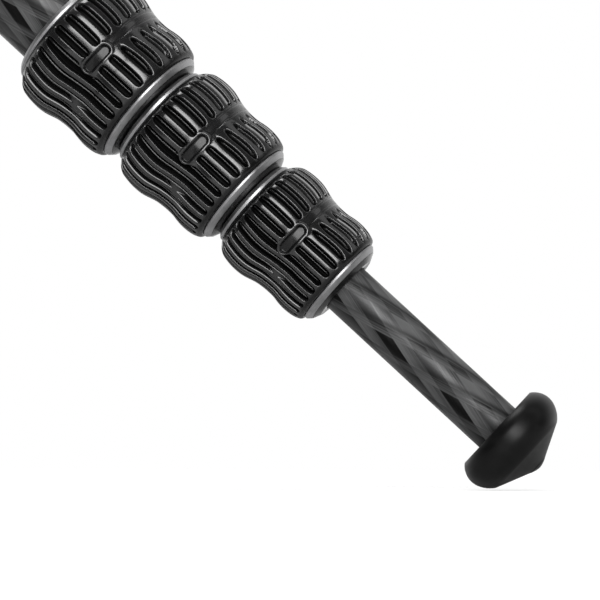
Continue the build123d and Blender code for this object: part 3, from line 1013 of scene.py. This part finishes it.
def grown(name: str, mesh: Mesh, tree: NodeTree, **values: object) -> Mesh:
    """Runs a geometry tree on a mesh.

    Args:
        name: the name of what is made.
        mesh: the mesh that goes in.
        tree: the geometry tree.
        values: its inputs, by name with underscores for blanks.

    Returns:
        The plain mesh that comes out.
    """
    holder = linked(name, mesh)
    modifier = holder.modifiers.new(name, "NODES")
    modifier.node_group = tree
    for item in tree.interface.items_tree:
        label = item.name.replace(" ", "_")
        if item.in_out == "INPUT" and label in values:
            modifier[item.identifier] = values[label]
    depsgraph = bpy.context.evaluated_depsgraph_get()
    result = bpy.data.meshes.new_from_object(
        holder.evaluated_get(depsgraph), preserve_all_data_layers=True, depsgraph=depsgraph
    )
    bpy.data.objects.remove(holder)
    return result


@dataclass
class TwistLock:
    """One twist lock: grip, dust seal and lock ring.  Sizes in millimetres.

    Heights count up from the lock's bottom face.  The zones are the grip's bands with the rows of
    each, and rise_at is how far its outer skin stands above its bore at a height.
    """

    line: AxisLine
    tag: str
    body: str
    ring_node: str
    grip_node: str
    rise_scale: float = 1.0
    zones: tuple[tuple[float, float, int], ...] = (
        (3.12, 6.4, 14), (6.4, 14.0, 12), (14.0, 23.4, 36), (23.4, 31.2, 11), (31.2, 34.9, 16),
    )
    rib_count: int = 30
    rib_columns: tuple[float, ...] = (
        0.0, 0.05, 0.09, 0.12, 0.145, 0.17, 0.195, 0.225, 0.265, 0.31, 0.35, 0.387,
        0.425, 0.47, 0.53, 0.62, 0.72, 0.775, 0.805, 0.83, 0.855, 0.88, 0.91, 0.95,
    )
    rise_at: tuple[Point, ...] = (
        (3.12, 1.5), (3.5, 2.15), (4.4, 2.65), (5.8, 3.1), (7.6, 3.38), (9.6, 3.45), (11.7, 3.26),
        (13.4, 2.96), (15.2, 2.85), (17.2, 2.9), (19.2, 3.1), (20.8, 3.44), (22.4, 3.92),
        (24.2, 4.4), (26.2, 4.63), (28.4, 4.63), (30.4, 4.4), (32.0, 4.02), (33.3, 3.25),
        (34.2, 2.35), (34.9, 1.45),
    )
    mean_rise: float = 3.3
    groove_depth: float = 2.0
    ridge_height: float = 1.6
    bore_step: float = 0.98
    tube_gap: float = 0.4
    cavity_gap: float = 2.05
    seal_height: float = 1.1
    flange_top: float = 3.1
    sleeve_top: float = 34.5
    sleeve_wall: float = 1.5
    bottom: float = field(init=False)
    flange: float = field(init=False)
    bore: float = field(init=False)
    tube: float = field(init=False)
    cavity: float = field(init=False)

    def __post_init__(self) -> None:
        """Measures the lock on its CAD nodes."""
        self.bottom = self.line.extent(self.grip_node)[1] / MM
        self.flange = self.line.extent(self.ring_node)[2] / MM
        self.bore = self.flange - self.bore_step
        self.tube = self.line.inner_reach(self.ring_node) / MM - self.tube_gap
        self.cavity = self.tube + self.cavity_gap
        log.info("lock %s: flange radius %.2f, tube radius %.2f", self.tag, self.flange, self.tube)

    def grip_mesh(self) -> Mesh:
        """The ribbed rubber, from a plain turned sleeve and the relief tree.

        Returns:
            The mesh in the row frame.
        """
        scale = self.rise_scale
        curve = smooth_through([(h, self.bore + rise * scale) for h, rise in self.rise_at], 12)
        low, high = curve[0][0], curve[-1][0]
        heights = [
            start + (end - start) * row / rows
            for start, end, rows in self.zones for row in range(rows)
        ]
        outline: list[Triple] = [(low, self.bore, 0.0)]
        for h in heights + [high]:
            after = next(i for i, (place, _) in enumerate(curve) if place >= h - ON_AXIS)
            (h0, r0), (h1, r1) = curve[max(after - 1, 0)], curve[after]
            share = (h - h0) / (h1 - h0) if h1 > h0 else 0.0
            outline.append((h, r0 + (r1 - r0) * share, 1.0))
        outline.append((high, self.bore, 0.0))
        mesh = grown(
            "grip_ribs", self.plain_sleeve(outline), grip_relief_tree(),
            Rib_Count=float(self.rib_count),
            Mean_Radius=self.bore + self.mean_rise * scale,
            Groove_Depth=self.groove_depth * scale,
            Ridge_Height=self.ridge_height * scale,
            Material=GRIP_RUBBER.build(),
        )
        foot = self.line.origin + self.line.direction * self.bottom * MM
        mesh.transform(AxisLine(foot, self.line.direction, self.line.facing).place())
        mesh.shade_smooth()
        return outward(mesh)

    def plain_sleeve(self, outline: Sequence[Triple]) -> Mesh:
        """A closed sleeve that carries height, turn, radius and outer attributes.

        Args:
            outline: (height, radius, 1 on the outer skin) of each row.

        Returns:
            The mesh, in the lock's own frame, with its columns set closer at the grooves' walls.
        """
        turns = [rib + share for rib in range(self.rib_count) for share in self.rib_columns]
        angles = [math.tau * turn / self.rib_count for turn in turns]
        verts = [
            (r * math.cos(a) * MM, r * math.sin(a) * MM, -h * MM)
            for h, r, _ in outline for a in angles
        ]
        rows = len(outline)
        mesh = plain_mesh("grip_plain", verts, grid_faces(rows, len(turns), rows))
        values = {"turn": turns * rows}
        for place, label in enumerate(("height", "radius", "outer")):
            values[label] = [row[place] for row in outline for _ in turns]
        for label, numbers in values.items():
            mesh.attributes.new(label, "FLOAT", "POINT").data.foreach_set("value", numbers)
        return mesh

    def turned(self, name: str, outline: Sequence[Triple]) -> Mesh:
        """A turned ring from the (height, radius, fillet) of its corners."""
        return turned_solid(name, self.line, [(self.bottom - h, r, f) for h, r, f in outline], 128)

    def build(self) -> None:
        """Builds and dresses the lock's pieces."""
        tag, flange, bore, cavity = self.tag, self.flange, self.bore, self.cavity
        inside = self.tube + self.tube_gap
        grip = self.grip_mesh()
        add_piece(f"grip_ribbed_{tag}", grip, GRIP_RUBBER, Slot.GRIP, self.body, self.grip_node)
        seal_top, flange_top, sleeve_top = self.seal_height, self.flange_top, self.sleeve_top
        seal = self.turned("dust_seal", [
            (0.0, inside, 0.05), (0.0, flange - 3.6, 0.3), (seal_top, flange - 1.22, 0.05),
            (seal_top, inside, 0.0),
        ])
        add_piece(f"dust_seal_{tag}", seal, SEAL_GLOSS, Slot.GRIP, self.body)
        ring = self.turned("flange_ring", [
            (seal_top, inside, 0.0), (seal_top, flange - 1.2, 0.15), (2.3, flange, 0.35),
            (flange_top, flange, 0.25), (flange_top, bore - 0.02, 0.0),
            (sleeve_top, bore - 0.02, 0.1), (sleeve_top, bore - self.sleeve_wall, 0.1),
            (7.6, bore - self.sleeve_wall, 0.0), (7.6, cavity, 0.0), (3.6, cavity, 0.0),
            (3.6, inside, 0.0),
        ])
        add_piece(
            f"flange_ring_{tag}", ring, SATIN_METAL, Slot.ALUMINIUM, self.body, self.ring_node
        )


@dataclass
class GuideBush:
    """The bush glued on an inner tube's top, which runs in the tube outside it.  Millimetres."""

    line: AxisLine
    tube_node: str
    section: int
    leg: str
    length: float = 25.0
    glue_gap: float = 0.02
    wall_outside: float = 1.6

    def build(self) -> None:
        """Builds the bush between the tube and the bore round it."""
        start = self.line.extent(self.tube_node)[0] / MM
        inner = TUBE_RADII[self.section] / MM + self.glue_gap
        outer = TUBE_RADII[self.section - 1] / MM - self.wall_outside
        end = start + self.length
        corners = [(start, inner, 0.0), (start, outer, 0.3), (end, outer, 0.3), (end, inner, 0.0)]
        add_piece(
            f"guide_bush_{self.section}_{self.leg}", turned_solid("guide_bush", self.line, corners),
            ACETAL, Slot.ACETAL, section_body(self.section, self.leg),
        )


@dataclass
class Clamp:
    """What carries a lock on the outer tube: threaded socket and split collet.  Millimetres."""

    lock: TwistLock
    section: int
    leg: str
    slit_angle: float = 8.0
    collet_steps: int = 88
    socket_wall: float = 2.6
    thread_bore: float = 4.38

    def collet_mesh(self) -> Mesh:
        """The collet, a cone-ended sleeve with one slit.

        Returns:
            The mesh in the row frame.
        """
        tube, steps = self.lock.tube, self.collet_steps
        outline = [
            (4.0, tube + 0.15), (4.0, tube + 1.9), (8.0, tube + 1.9), (13.6, tube + 1.2),
            (13.6, tube + 0.15),
        ]
        first, sweep = self.slit_angle / 2 * RADIAN, (360.0 - self.slit_angle) * RADIAN
        verts = [
            (r * MM * math.cos(a), r * MM * math.sin(a), (self.lock.bottom - h) * MM)
            for a in (first + sweep * step / steps for step in range(steps + 1))
            for h, r in outline
        ]
        count = len(outline)
        faces = grid_faces(steps + 1, count, steps)
        faces += [tuple(reversed(range(count))), tuple(range(steps * count, len(verts)))]
        mesh = plain_mesh("collet", verts, faces)
        mesh.transform(self.lock.line.place())
        return outward(mesh)

    def build(self) -> None:
        """Builds and dresses the two pieces; the socket's shoulder is the part that shows."""
        tag, body = f"{self.section}_{self.leg}", section_body(self.section, self.leg)
        flange, cavity = self.lock.flange, self.lock.cavity
        bore, outside = flange - self.thread_bore, flange - self.socket_wall
        socket = self.lock.turned("clamp_socket", [
            (8.0, cavity, 0.0), (13.98, cavity - 0.7, 0.0), (13.98, bore, 0.0), (37.0, bore, 0.1),
            (37.0, flange - 1.0, 0.25), (36.0, flange, 0.35), (35.1, flange, 0.2),
            (35.1, outside, 0.0), (8.0, outside, 0.3),
        ])
        add_piece(f"clamp_socket_{tag}", socket, SATIN_METAL, Slot.ALUMINIUM, body, f"clamp_{tag}")
        add_piece(f"split_collet_{tag}", self.collet_mesh(), ACETAL, Slot.ACETAL, body)


@dataclass
class CarbonTube:
    """A wound tube with its square-cut ends.  Lead and tow width are those of the weave."""

    line: AxisLine
    node: str
    body: str
    start: float
    end: float
    radius: float
    wall: float = 0.0014
    edge: float = 0.0002
    lead: float = 0.025
    tow_width: float = 0.00673
    groove_depth: float = 0.0
    groove_width: float = 0.002
    segments: int = 128

    def cut_key_groove(self, mesh: Mesh) -> None:
        """Presses a square groove in the tube's +Y side, two columns wide each way.

        Args:
            mesh: the tube's mesh.
        """
        half = self.groove_width / 2
        skin = self.radius - self.wall + 0.0001
        for vertex in mesh.vertices:
            flat = math.hypot(vertex.co.x, vertex.co.y)
            column = round(math.atan2(vertex.co.x, vertex.co.y) * self.segments / math.tau)
            if abs(column) > 2 or flat < skin:
                continue
            side = half * max(-1, min(1, column))
            drop = self.groove_depth if abs(column) < 2 else 0.0
            vertex.co.x = side
            vertex.co.y = math.sqrt((flat - drop) ** 2 - side ** 2)
        mesh.set_sharp_from_angle(angle=40.0 * RADIAN)

    def build(self) -> None:
        """Builds the tube with the weave's UV map."""
        tows = round(math.tau * self.radius / self.tow_width)
        low, high, outer, inner = self.start, self.end, self.radius, self.radius - self.wall
        corners = [(low, outer, self.edge), (high, outer, self.edge), (high, inner, 0.0)]
        outline = rounded([*corners, (low, inner, 0.0)], True)
        weave = (tows, self.lead)
        mesh = turned_mesh(self.node, outline, Shape.RING, self.line, self.segments, weave)
        count = mesh.attributes.new("tows", "FLOAT", "POINT")
        count.data.foreach_set("value", [float(tows)] * len(mesh.vertices))
        if self.groove_depth:
            self.cut_key_groove(mesh)
        add_piece(f"wound_{self.node}", outward(mesh), CARBON, Slot.CARBON, self.body, self.node)


@dataclass
class RubberFoot:
    """The push-on foot: a round belly, a sharp shoulder and a cone.

    Each point is a depth below the back face and a radius, in millimetres.
    """

    line: AxisLine
    leg: str
    belly: tuple[Point, ...] = (
        (0.0, 13.5), (0.5, 14.15), (1.4, 14.95), (2.6, 15.65), (3.9, 16.05), (5.2, 16.15),
        (6.6, 15.95), (8.0, 15.4), (9.4, 14.55), (10.6, 13.45), (11.2, 12.7),
    )
    cone: tuple[Point, ...] = (
        (11.5, 12.05), (15.2, 3.7), (15.7, 2.7), (16.1, 1.6), (16.3, 0.8), (16.4, 0.0),
    )
    socket: tuple[Point, ...] = (
        (11.02, 0.0), (11.02, 3.02), (6.0, 3.02), (6.0, 7.52), (0.0, 7.52),
    )
    back_face: tuple[Point, ...] = ((0.0, 9.2), (0.0, 13.1))
    segments: int = 160

    def build(self) -> None:
        """Builds the foot, whose outline starts in its socket and goes round to its tip."""
        back = self.line.extent(f"foot_{self.leg}")[0]
        skin = smooth_through(self.belly, 5) + smooth_through(self.cone, 3)
        points = (*self.socket, *self.back_face, *skin)
        outline = [(back + depth * MM, radius * MM) for depth, radius in points]
        mesh = turned_mesh("rubber_foot", outline, Shape.CAP, self.line, self.segments)
        add_piece(
            f"rubber_foot_{self.leg}", outward(mesh), FOOT_RUBBER, Slot.FOOT,
            section_body(4, self.leg), f"foot_{self.leg}",
        )


@dataclass
class Leg:
    """One leg with its four sections, three locks and foot.  Plug sizes in millimetres."""

    number: int
    stud_length: float = 5.0
    stud_radius: float = 3.0
    plug_length: float = 14.0
    plug_radius: float = 6.08
    name: str = field(init=False)
    line: AxisLine = field(init=False)

    def __post_init__(self) -> None:
        """Finds the leg's axis."""
        self.name = LEGS[self.number]
        self.line = leg_line(self.number)

    def build(self) -> None:
        """Builds the leg from the top down."""
        for section in (1, 2, 3):
            tag = f"{section}_{self.name}"
            body, node = section_body(section, self.name), f"tube_{tag}"
            CarbonTube(self.line, node, body, *self.line.extent(node)).build()
            lock = TwistLock(self.line, tag, f"lock_{tag}", f"lock_ring_{tag}", f"grip_{tag}")
            lock.build()
            Clamp(lock, section, self.name).build()
            if section > 1:
                GuideBush(self.line, node, section, self.name).build()
        self.build_foot_tube()
        RubberFoot(self.line, self.name).build()

    def build_foot_tube(self) -> None:
        """The last section: tube, guide bush and the plug that the foot is pushed on."""
        node, body = f"foot_tube_{self.name}", section_body(4, self.name)
        start, stud_end, _ = self.line.extent(node)
        end = stud_end - self.stud_length * MM
        CarbonTube(self.line, node, body, start, end, TUBE_RADII[4]).build()
        GuideBush(self.line, node, 4, self.name).build()
        low, face, tip = end / MM - self.plug_length, end / MM, end / MM + self.stud_length
        corners = [
            (low, 0.0, 0.0), (low, self.plug_radius, 0.2), (face, self.plug_radius, 0.0),
            (face, self.stud_radius, 0.1), (tip, self.stud_radius, 0.4), (tip, 0.0, 0.0),
        ]
        plug = turned_solid("foot_plug", self.line, corners, shape=Shape.CAP)
        add_piece(f"foot_plug_{self.name}", plug, SATIN_METAL, Slot.ALUMINIUM, body)


@dataclass
class Stud:
    """The platform's stud: a plain shank below its face and a coarse thread above."""

    shank: float = 0.0042
    shank_length: float = 0.013
    core: float = 0.0039
    crest: float = 0.00476
    pitch: float = 0.0254 / 16
    first: float = 0.0003
    last: float = 0.0087
    tip: float = 0.0095
    lead_in: float = 0.0008
    rows: int = 96

    def build(self) -> None:
        """Builds the stud, and lifts its turned core to a helical thread."""
        line = AxisLine(Vector((0, 0, 0)), Vector((0, 0, 1)), Vector((1, 0, 0)))
        first, last, core = self.first, self.last, self.core
        low, chamfer, span = -self.shank_length, 0.0003, last - first
        outline = [(low, 0.0), (low, self.shank - chamfer), (low + chamfer, self.shank)]
        outline.append((0.0, self.shank))
        outline += [(first + span * row / (self.rows - 1), core) for row in range(self.rows)]
        outline += [(self.tip - 0.0002, core - 0.0006), (self.tip, core - 0.0009), (self.tip, 0.0)]
        mesh = outward(turned_mesh("stud_threaded", outline, Shape.CAP, line, 96))
        for vertex in mesh.vertices:
            height = vertex.co.z
            flat = math.hypot(vertex.co.x, vertex.co.y)
            if not first <= height <= last or flat < 0.9 * core:
                continue
            turn = math.atan2(vertex.co.y, vertex.co.x) / math.tau
            ridge = 1.0 - abs(2.0 * ((height / self.pitch - turn) % 1.0) - 1.0)
            lead = min(1.0, (height - first) / self.lead_in, (last - height) / self.lead_in)
            scale = (core + (self.crest - core) * min(1.0, ridge * 1.25) * lead) / flat
            vertex.co.x *= scale
            vertex.co.y *= scale
        add_piece("stud_threaded", mesh, BLACK_METAL, Slot.STEEL, "column", "head_stud")


@dataclass
class Hub:
    """Spider, column, platform and hook."""

    grip_rise: float = 0.7
    column_wall: float = 0.0016
    key_groove: float = 0.0007

    def build(self) -> None:
        """Builds the column's pieces and dresses the castings and small parts."""
        line = AxisLine(Vector((0, 0, 0)), Vector((0, 0, -1)), Vector((0, -1, 0)))
        CarbonTube(
            line, "column_tube", "column", *line.extent("column_tube"),
            wall=self.column_wall, groove_depth=self.key_groove,
        ).build()
        nodes = ("column_lock_ring", "column_grip")
        TwistLock(line, "column", "column_lock", *nodes, self.grip_rise).build()
        soften("spider", "spider_casting", "hub", CAST_COAT, Slot.CAST, 0.6)
        soften("pivot_bolts", "pivot_bolt_set", "hub", BLACK_METAL, Slot.STEEL, 0.25)
        soften("head_platform", "platform_disc", "column", BLACK_METAL, Slot.ALUMINIUM, 0.3)
        Stud().build()
        soften("set_screws", "set_screw_trio", "column", BLACK_METAL, Slot.STEEL, 0.15)
        soften("column_cap", "cap_turned", "column", BLACK_METAL, Slot.ALUMINIUM, 0.4)
        soften("bag_hook", "hook_swivelling", "hook", BLACK_METAL, Slot.STEEL, 0.3)
        for leg in LEGS:
            soften(f"yoke_{leg}", f"yoke_casting_{leg}", f"leg_{leg}", CAST_COAT, Slot.CAST, 0.6)
            stop, body = f"angle_stop_{leg}", f"stop_{leg}"
            soften(stop, f"stop_slider_{leg}", body, BLACK_METAL, Slot.ALUMINIUM, 0.35)
        dress("column_collet", ACETAL)


def soften(node: str, name: str, body: str, finish: Finish, slot: Slot, width: float) -> None:
    """Replaces a CAD node by a copy whose hard edges are rounded.

    Args:
        node: the node's name.
        name: the new piece's name.
        body: the body that carries it.
        finish: its finish.
        slot: the record's slot that the finish stands for.
        width: the rounding's width in millimetres.
    """
    hard_angle, flat_angle, same_place = 32.0 * RADIAN, 1.0 * RADIAN, 1e-6
    shell = bmesh.new()
    shell.from_mesh(frame["nodes"][node].data)
    bmesh.ops.remove_doubles(shell, verts=shell.verts, dist=same_place)
    bmesh.ops.dissolve_limit(shell, angle_limit=flat_angle, verts=shell.verts, edges=shell.edges)
    mesh = bpy.data.meshes.new(name)
    shell.to_mesh(mesh)
    shell.free()
    mesh.materials.clear()
    mesh.shade_smooth()
    mesh.set_sharp_from_angle(angle=hard_angle)
    holder = linked(name, mesh)
    bevel = holder.modifiers.new("rounding", "BEVEL")
    bevel.limit_method = "ANGLE"
    bevel.angle_limit = hard_angle
    bevel.width = width * MM
    bevel.segments = 2
    bevel.harden_normals = True
    depsgraph = bpy.context.evaluated_depsgraph_get()
    rounded_mesh = bpy.data.meshes.new_from_object(holder.evaluated_get(depsgraph))
    bpy.data.objects.remove(holder)
    add_piece(name, rounded_mesh, finish, slot, body, node)


def dress(node: str, finish: Finish) -> None:
    """Gives a CAD node that stays its finish."""
    for place in frame["nodes"][node].material_slots:
        place.material = finish.build()
    log.info("%s: dressed in %s", node, finish.label)


@dataclass(frozen=True)
class PhotoCamera:
    """The photograph's camera, fitted to leg a: square to the leg at its foot, the leg tilted.

    Stand and aim are places along the leg; the half width is the view's at a metre.
    """

    distance: float = 0.680
    square_at: float = 0.4774
    aim_at: float = 0.4123
    aim_side: float = 0.01135
    leg_tilt: float = 42.793
    half_width: float = 0.12522
    sensor: float = 36.0

    def build(self) -> None:
        """Makes the camera and gives it to the scene."""
        line = leg_line(0)
        low = line.direction.cross(line.facing)
        side = low * self.aim_side
        stand = line.origin + line.direction * self.square_at + line.facing * self.distance + side
        aim = line.origin + line.direction * self.aim_at + side
        forward = (aim - stand).normalized()
        leg = (line.direction - forward * line.direction.dot(forward)).normalized()
        tilt = self.leg_tilt * RADIAN
        right = leg * math.cos(tilt) - low * math.sin(tilt)
        up = -leg * math.sin(tilt) - low * math.cos(tilt)
        data = bpy.data.cameras.new("photo_camera")
        data.sensor_width = self.sensor
        data.lens = self.sensor / 2 / self.half_width
        camera = linked("photo_camera", data)
        turn = Matrix((right, up, -forward)).transposed().to_4x4()
        camera.matrix_world = Matrix.Translation(stand) @ turn
        bpy.context.scene.camera = camera


@dataclass(frozen=True)
class Lamp:
    """A soft lamp aimed at the leg: where it hangs, its size in metres, its power in watts."""

    name: str
    place: Vector
    size: Point
    power: float

    def build(self, target: Vector, top: Vector) -> None:
        """Makes the lamp.

        Args:
            target: what it points at.
            top: the direction that its longer side follows.
        """
        data = bpy.data.lights.new(self.name, "AREA")
        data.shape = "RECTANGLE"
        data.size, data.size_y = self.size
        data.energy = self.power
        back = (self.place - target).normalized()
        side = top.cross(back).normalized()
        turn = Matrix((side, back.cross(side), back)).transposed().to_4x4()
        linked(self.name, data).matrix_world = Matrix.Translation(self.place) @ turn


@dataclass(frozen=True)
class Studio:
    """White surroundings that are dimmer behind the camera, a pale floor and soft lamps.

    To the camera the floor is part clear, and nearly clear away from the feet, so a folded or
    drawn-out leg shows through it.
    """

    ambient: float = 0.26
    front_mirror: float = 0.05
    floor_paint: float = 0.52
    floor_clear: float = 0.68
    open_clear: float = 0.29
    open_dim: float = 0.44
    contact_edge: Point = (0.045, 0.11)
    rim_clear: float = 0.2
    floor_mirror: float = 0.08
    floor_radius: float = 1.1
    floor_gap: float = 0.0002
    floor_sides: int = 96
    aim_at: float = 0.40

    def build(self) -> None:
        """Makes the world, the floor and the lamps."""
        self.build_world()
        self.build_floor()
        line = leg_line(0)
        target = line.origin + line.direction * self.aim_at
        low = line.direction.cross(line.facing)
        key = target + line.facing * 0.95 - low * 0.31 - line.direction * 0.08
        side = target + line.facing * 0.15 - low * 0.9
        Lamp("key", key, (0.46, 1.2), 12.8).build(target, line.direction)
        Lamp("side", side, (0.3, 1.2), 0.8).build(target, line.direction)
        Lamp("top", Vector((-0.2, 0.2, 1.5)), (0.7, 0.7), 9.0).build(target, line.direction)

    @staticmethod
    def rays(tree: NodeTree) -> tuple[Field, Field]:
        """The kind of ray that arrives.

        Args:
            tree: the tree that asks.

        Returns:
            1 for rays that look straight or through glass, and 1 for mirrored ones.
        """
        camera = add_node(tree, "ShaderNodeLightPath", {}, "Is Camera Ray")
        looked_at = camera.above(camera.other("Is Transmission Ray"))
        return looked_at, camera.other("Is Glossy Ray") * (1.0 - looked_at)

    @staticmethod
    def grey(level: Field) -> Field:
        """A grey of the given level."""
        return add_node(level.tree, "ShaderNodeCombineColor", {0: level, 1: level, 2: level})

    @staticmethod
    def distance(tree: NodeTree, point: Point) -> Field:
        """The distance on the floor from a point."""
        wires = {0: add_node(tree, "ShaderNodeTexCoord", {}, "Object"), 1: (*point, 0.0)}
        return add_node(tree, "ShaderNodeVectorMath", wires, "Value", operation="DISTANCE")

    @staticmethod
    def contact(leg: str) -> Point:
        """Where a leg's foot stands at rest."""
        vertices = frame["nodes"][f"foot_{leg}"].data.vertices
        toe = min((vertex.co for vertex in vertices), key=lambda place: place.z)
        return (toe.x, toe.y)

    def build_world(self) -> None:
        """White to look at; in mirrors it fades towards the camera's side; dimmer as a light."""
        world = bpy.data.worlds.new("studio_world")
        world.use_nodes = True
        tree = world.node_tree
        place = add_node(tree, "ShaderNodeTexCoord", {}, "Generated")
        behind = add_node(tree, "ShaderNodeSeparateXYZ", {0: place}, "Y").step(-0.1, 0.9)
        looked_at, mirrored = self.rays(tree)
        strength = looked_at + mirrored * behind.between((self.front_mirror, 1.0))
        strength = strength + (1.0 - (looked_at + mirrored)) * self.ambient
        background = tree.nodes["Background"]
        background.inputs["Color"].default_value = (1.0, 1.0, 1.0, 1.0)
        tree.links.new(strength.socket, background.inputs["Strength"])
        bpy.context.scene.world = world

    def floor_material(self) -> Material:
        """The floor's material, which fades into the white surroundings.

        Returns:
            The material.
        """
        material = bpy.data.materials.new("floor_white")
        material.use_nodes = True
        tree = material.node_tree
        nodes = Wiring(tree)
        nodes.constants({"Roughness": 0.9, "Specular IOR Level": 0.0})
        looked_at, mirrored = self.rays(tree)
        away = self.distance(tree, (0.0, 0.0)) / self.floor_radius
        near_a, near_b, near_c = (self.distance(tree, self.contact(leg)) for leg in LEGS)
        open_floor = near_a.below(near_b).below(near_c).step(*self.contact_edge)
        share = away.step(0.35, 0.75) * self.rim_clear + open_floor * self.open_clear
        level = self.grey(looked_at * (share + self.floor_clear))
        paint = self.floor_paint - looked_at * open_floor * self.open_dim
        nodes.feed("Base Color", self.grey(paint))
        glow = add_node(tree, "ShaderNodeEmission", {"Strength": mirrored * self.floor_mirror})
        lit = Field(tree, nodes.shader.outputs[0])
        for shader in (glow, add_node(tree, "ShaderNodeBsdfTransparent", {"Color": level})):
            lit = add_node(tree, "ShaderNodeAddShader", {0: lit, 1: shader})
        gone = add_node(tree, "ShaderNodeBsdfTransparent", {})
        faded = add_node(tree, "ShaderNodeMixShader", {0: away.step(0.45, 0.95), 1: lit, 2: gone})
        tree.links.new(faded.socket, tree.nodes["Material Output"].inputs["Surface"])
        return material

    def build_floor(self) -> None:
        """A round pale floor, just under the feet."""
        turns = [math.tau * side / self.floor_sides for side in range(self.floor_sides)]
        radius = self.floor_radius
        rim = [(radius * math.cos(turn), radius * math.sin(turn), 0.0) for turn in turns]
        mesh = plain_mesh("floor", rim, [tuple(range(self.floor_sides))])
        mesh.materials.append(self.floor_material())
        floor = linked("floor", mesh)
        floor.location.z = CAD_BOX[0].z - self.floor_gap


def main() -> None:
    """Builds the camera, the studio and the tripod, piece by piece."""
    logging.basicConfig(level=logging.INFO, format="%(name)s: %(message)s")
    bpy.context.scene.view_settings.view_transform = "Standard"
    PhotoCamera().build()
    Studio().build()
    for number in range(len(LEGS)):
        Leg(number).build()
    Hub().build()


if __name__ == "__main__":
    main()
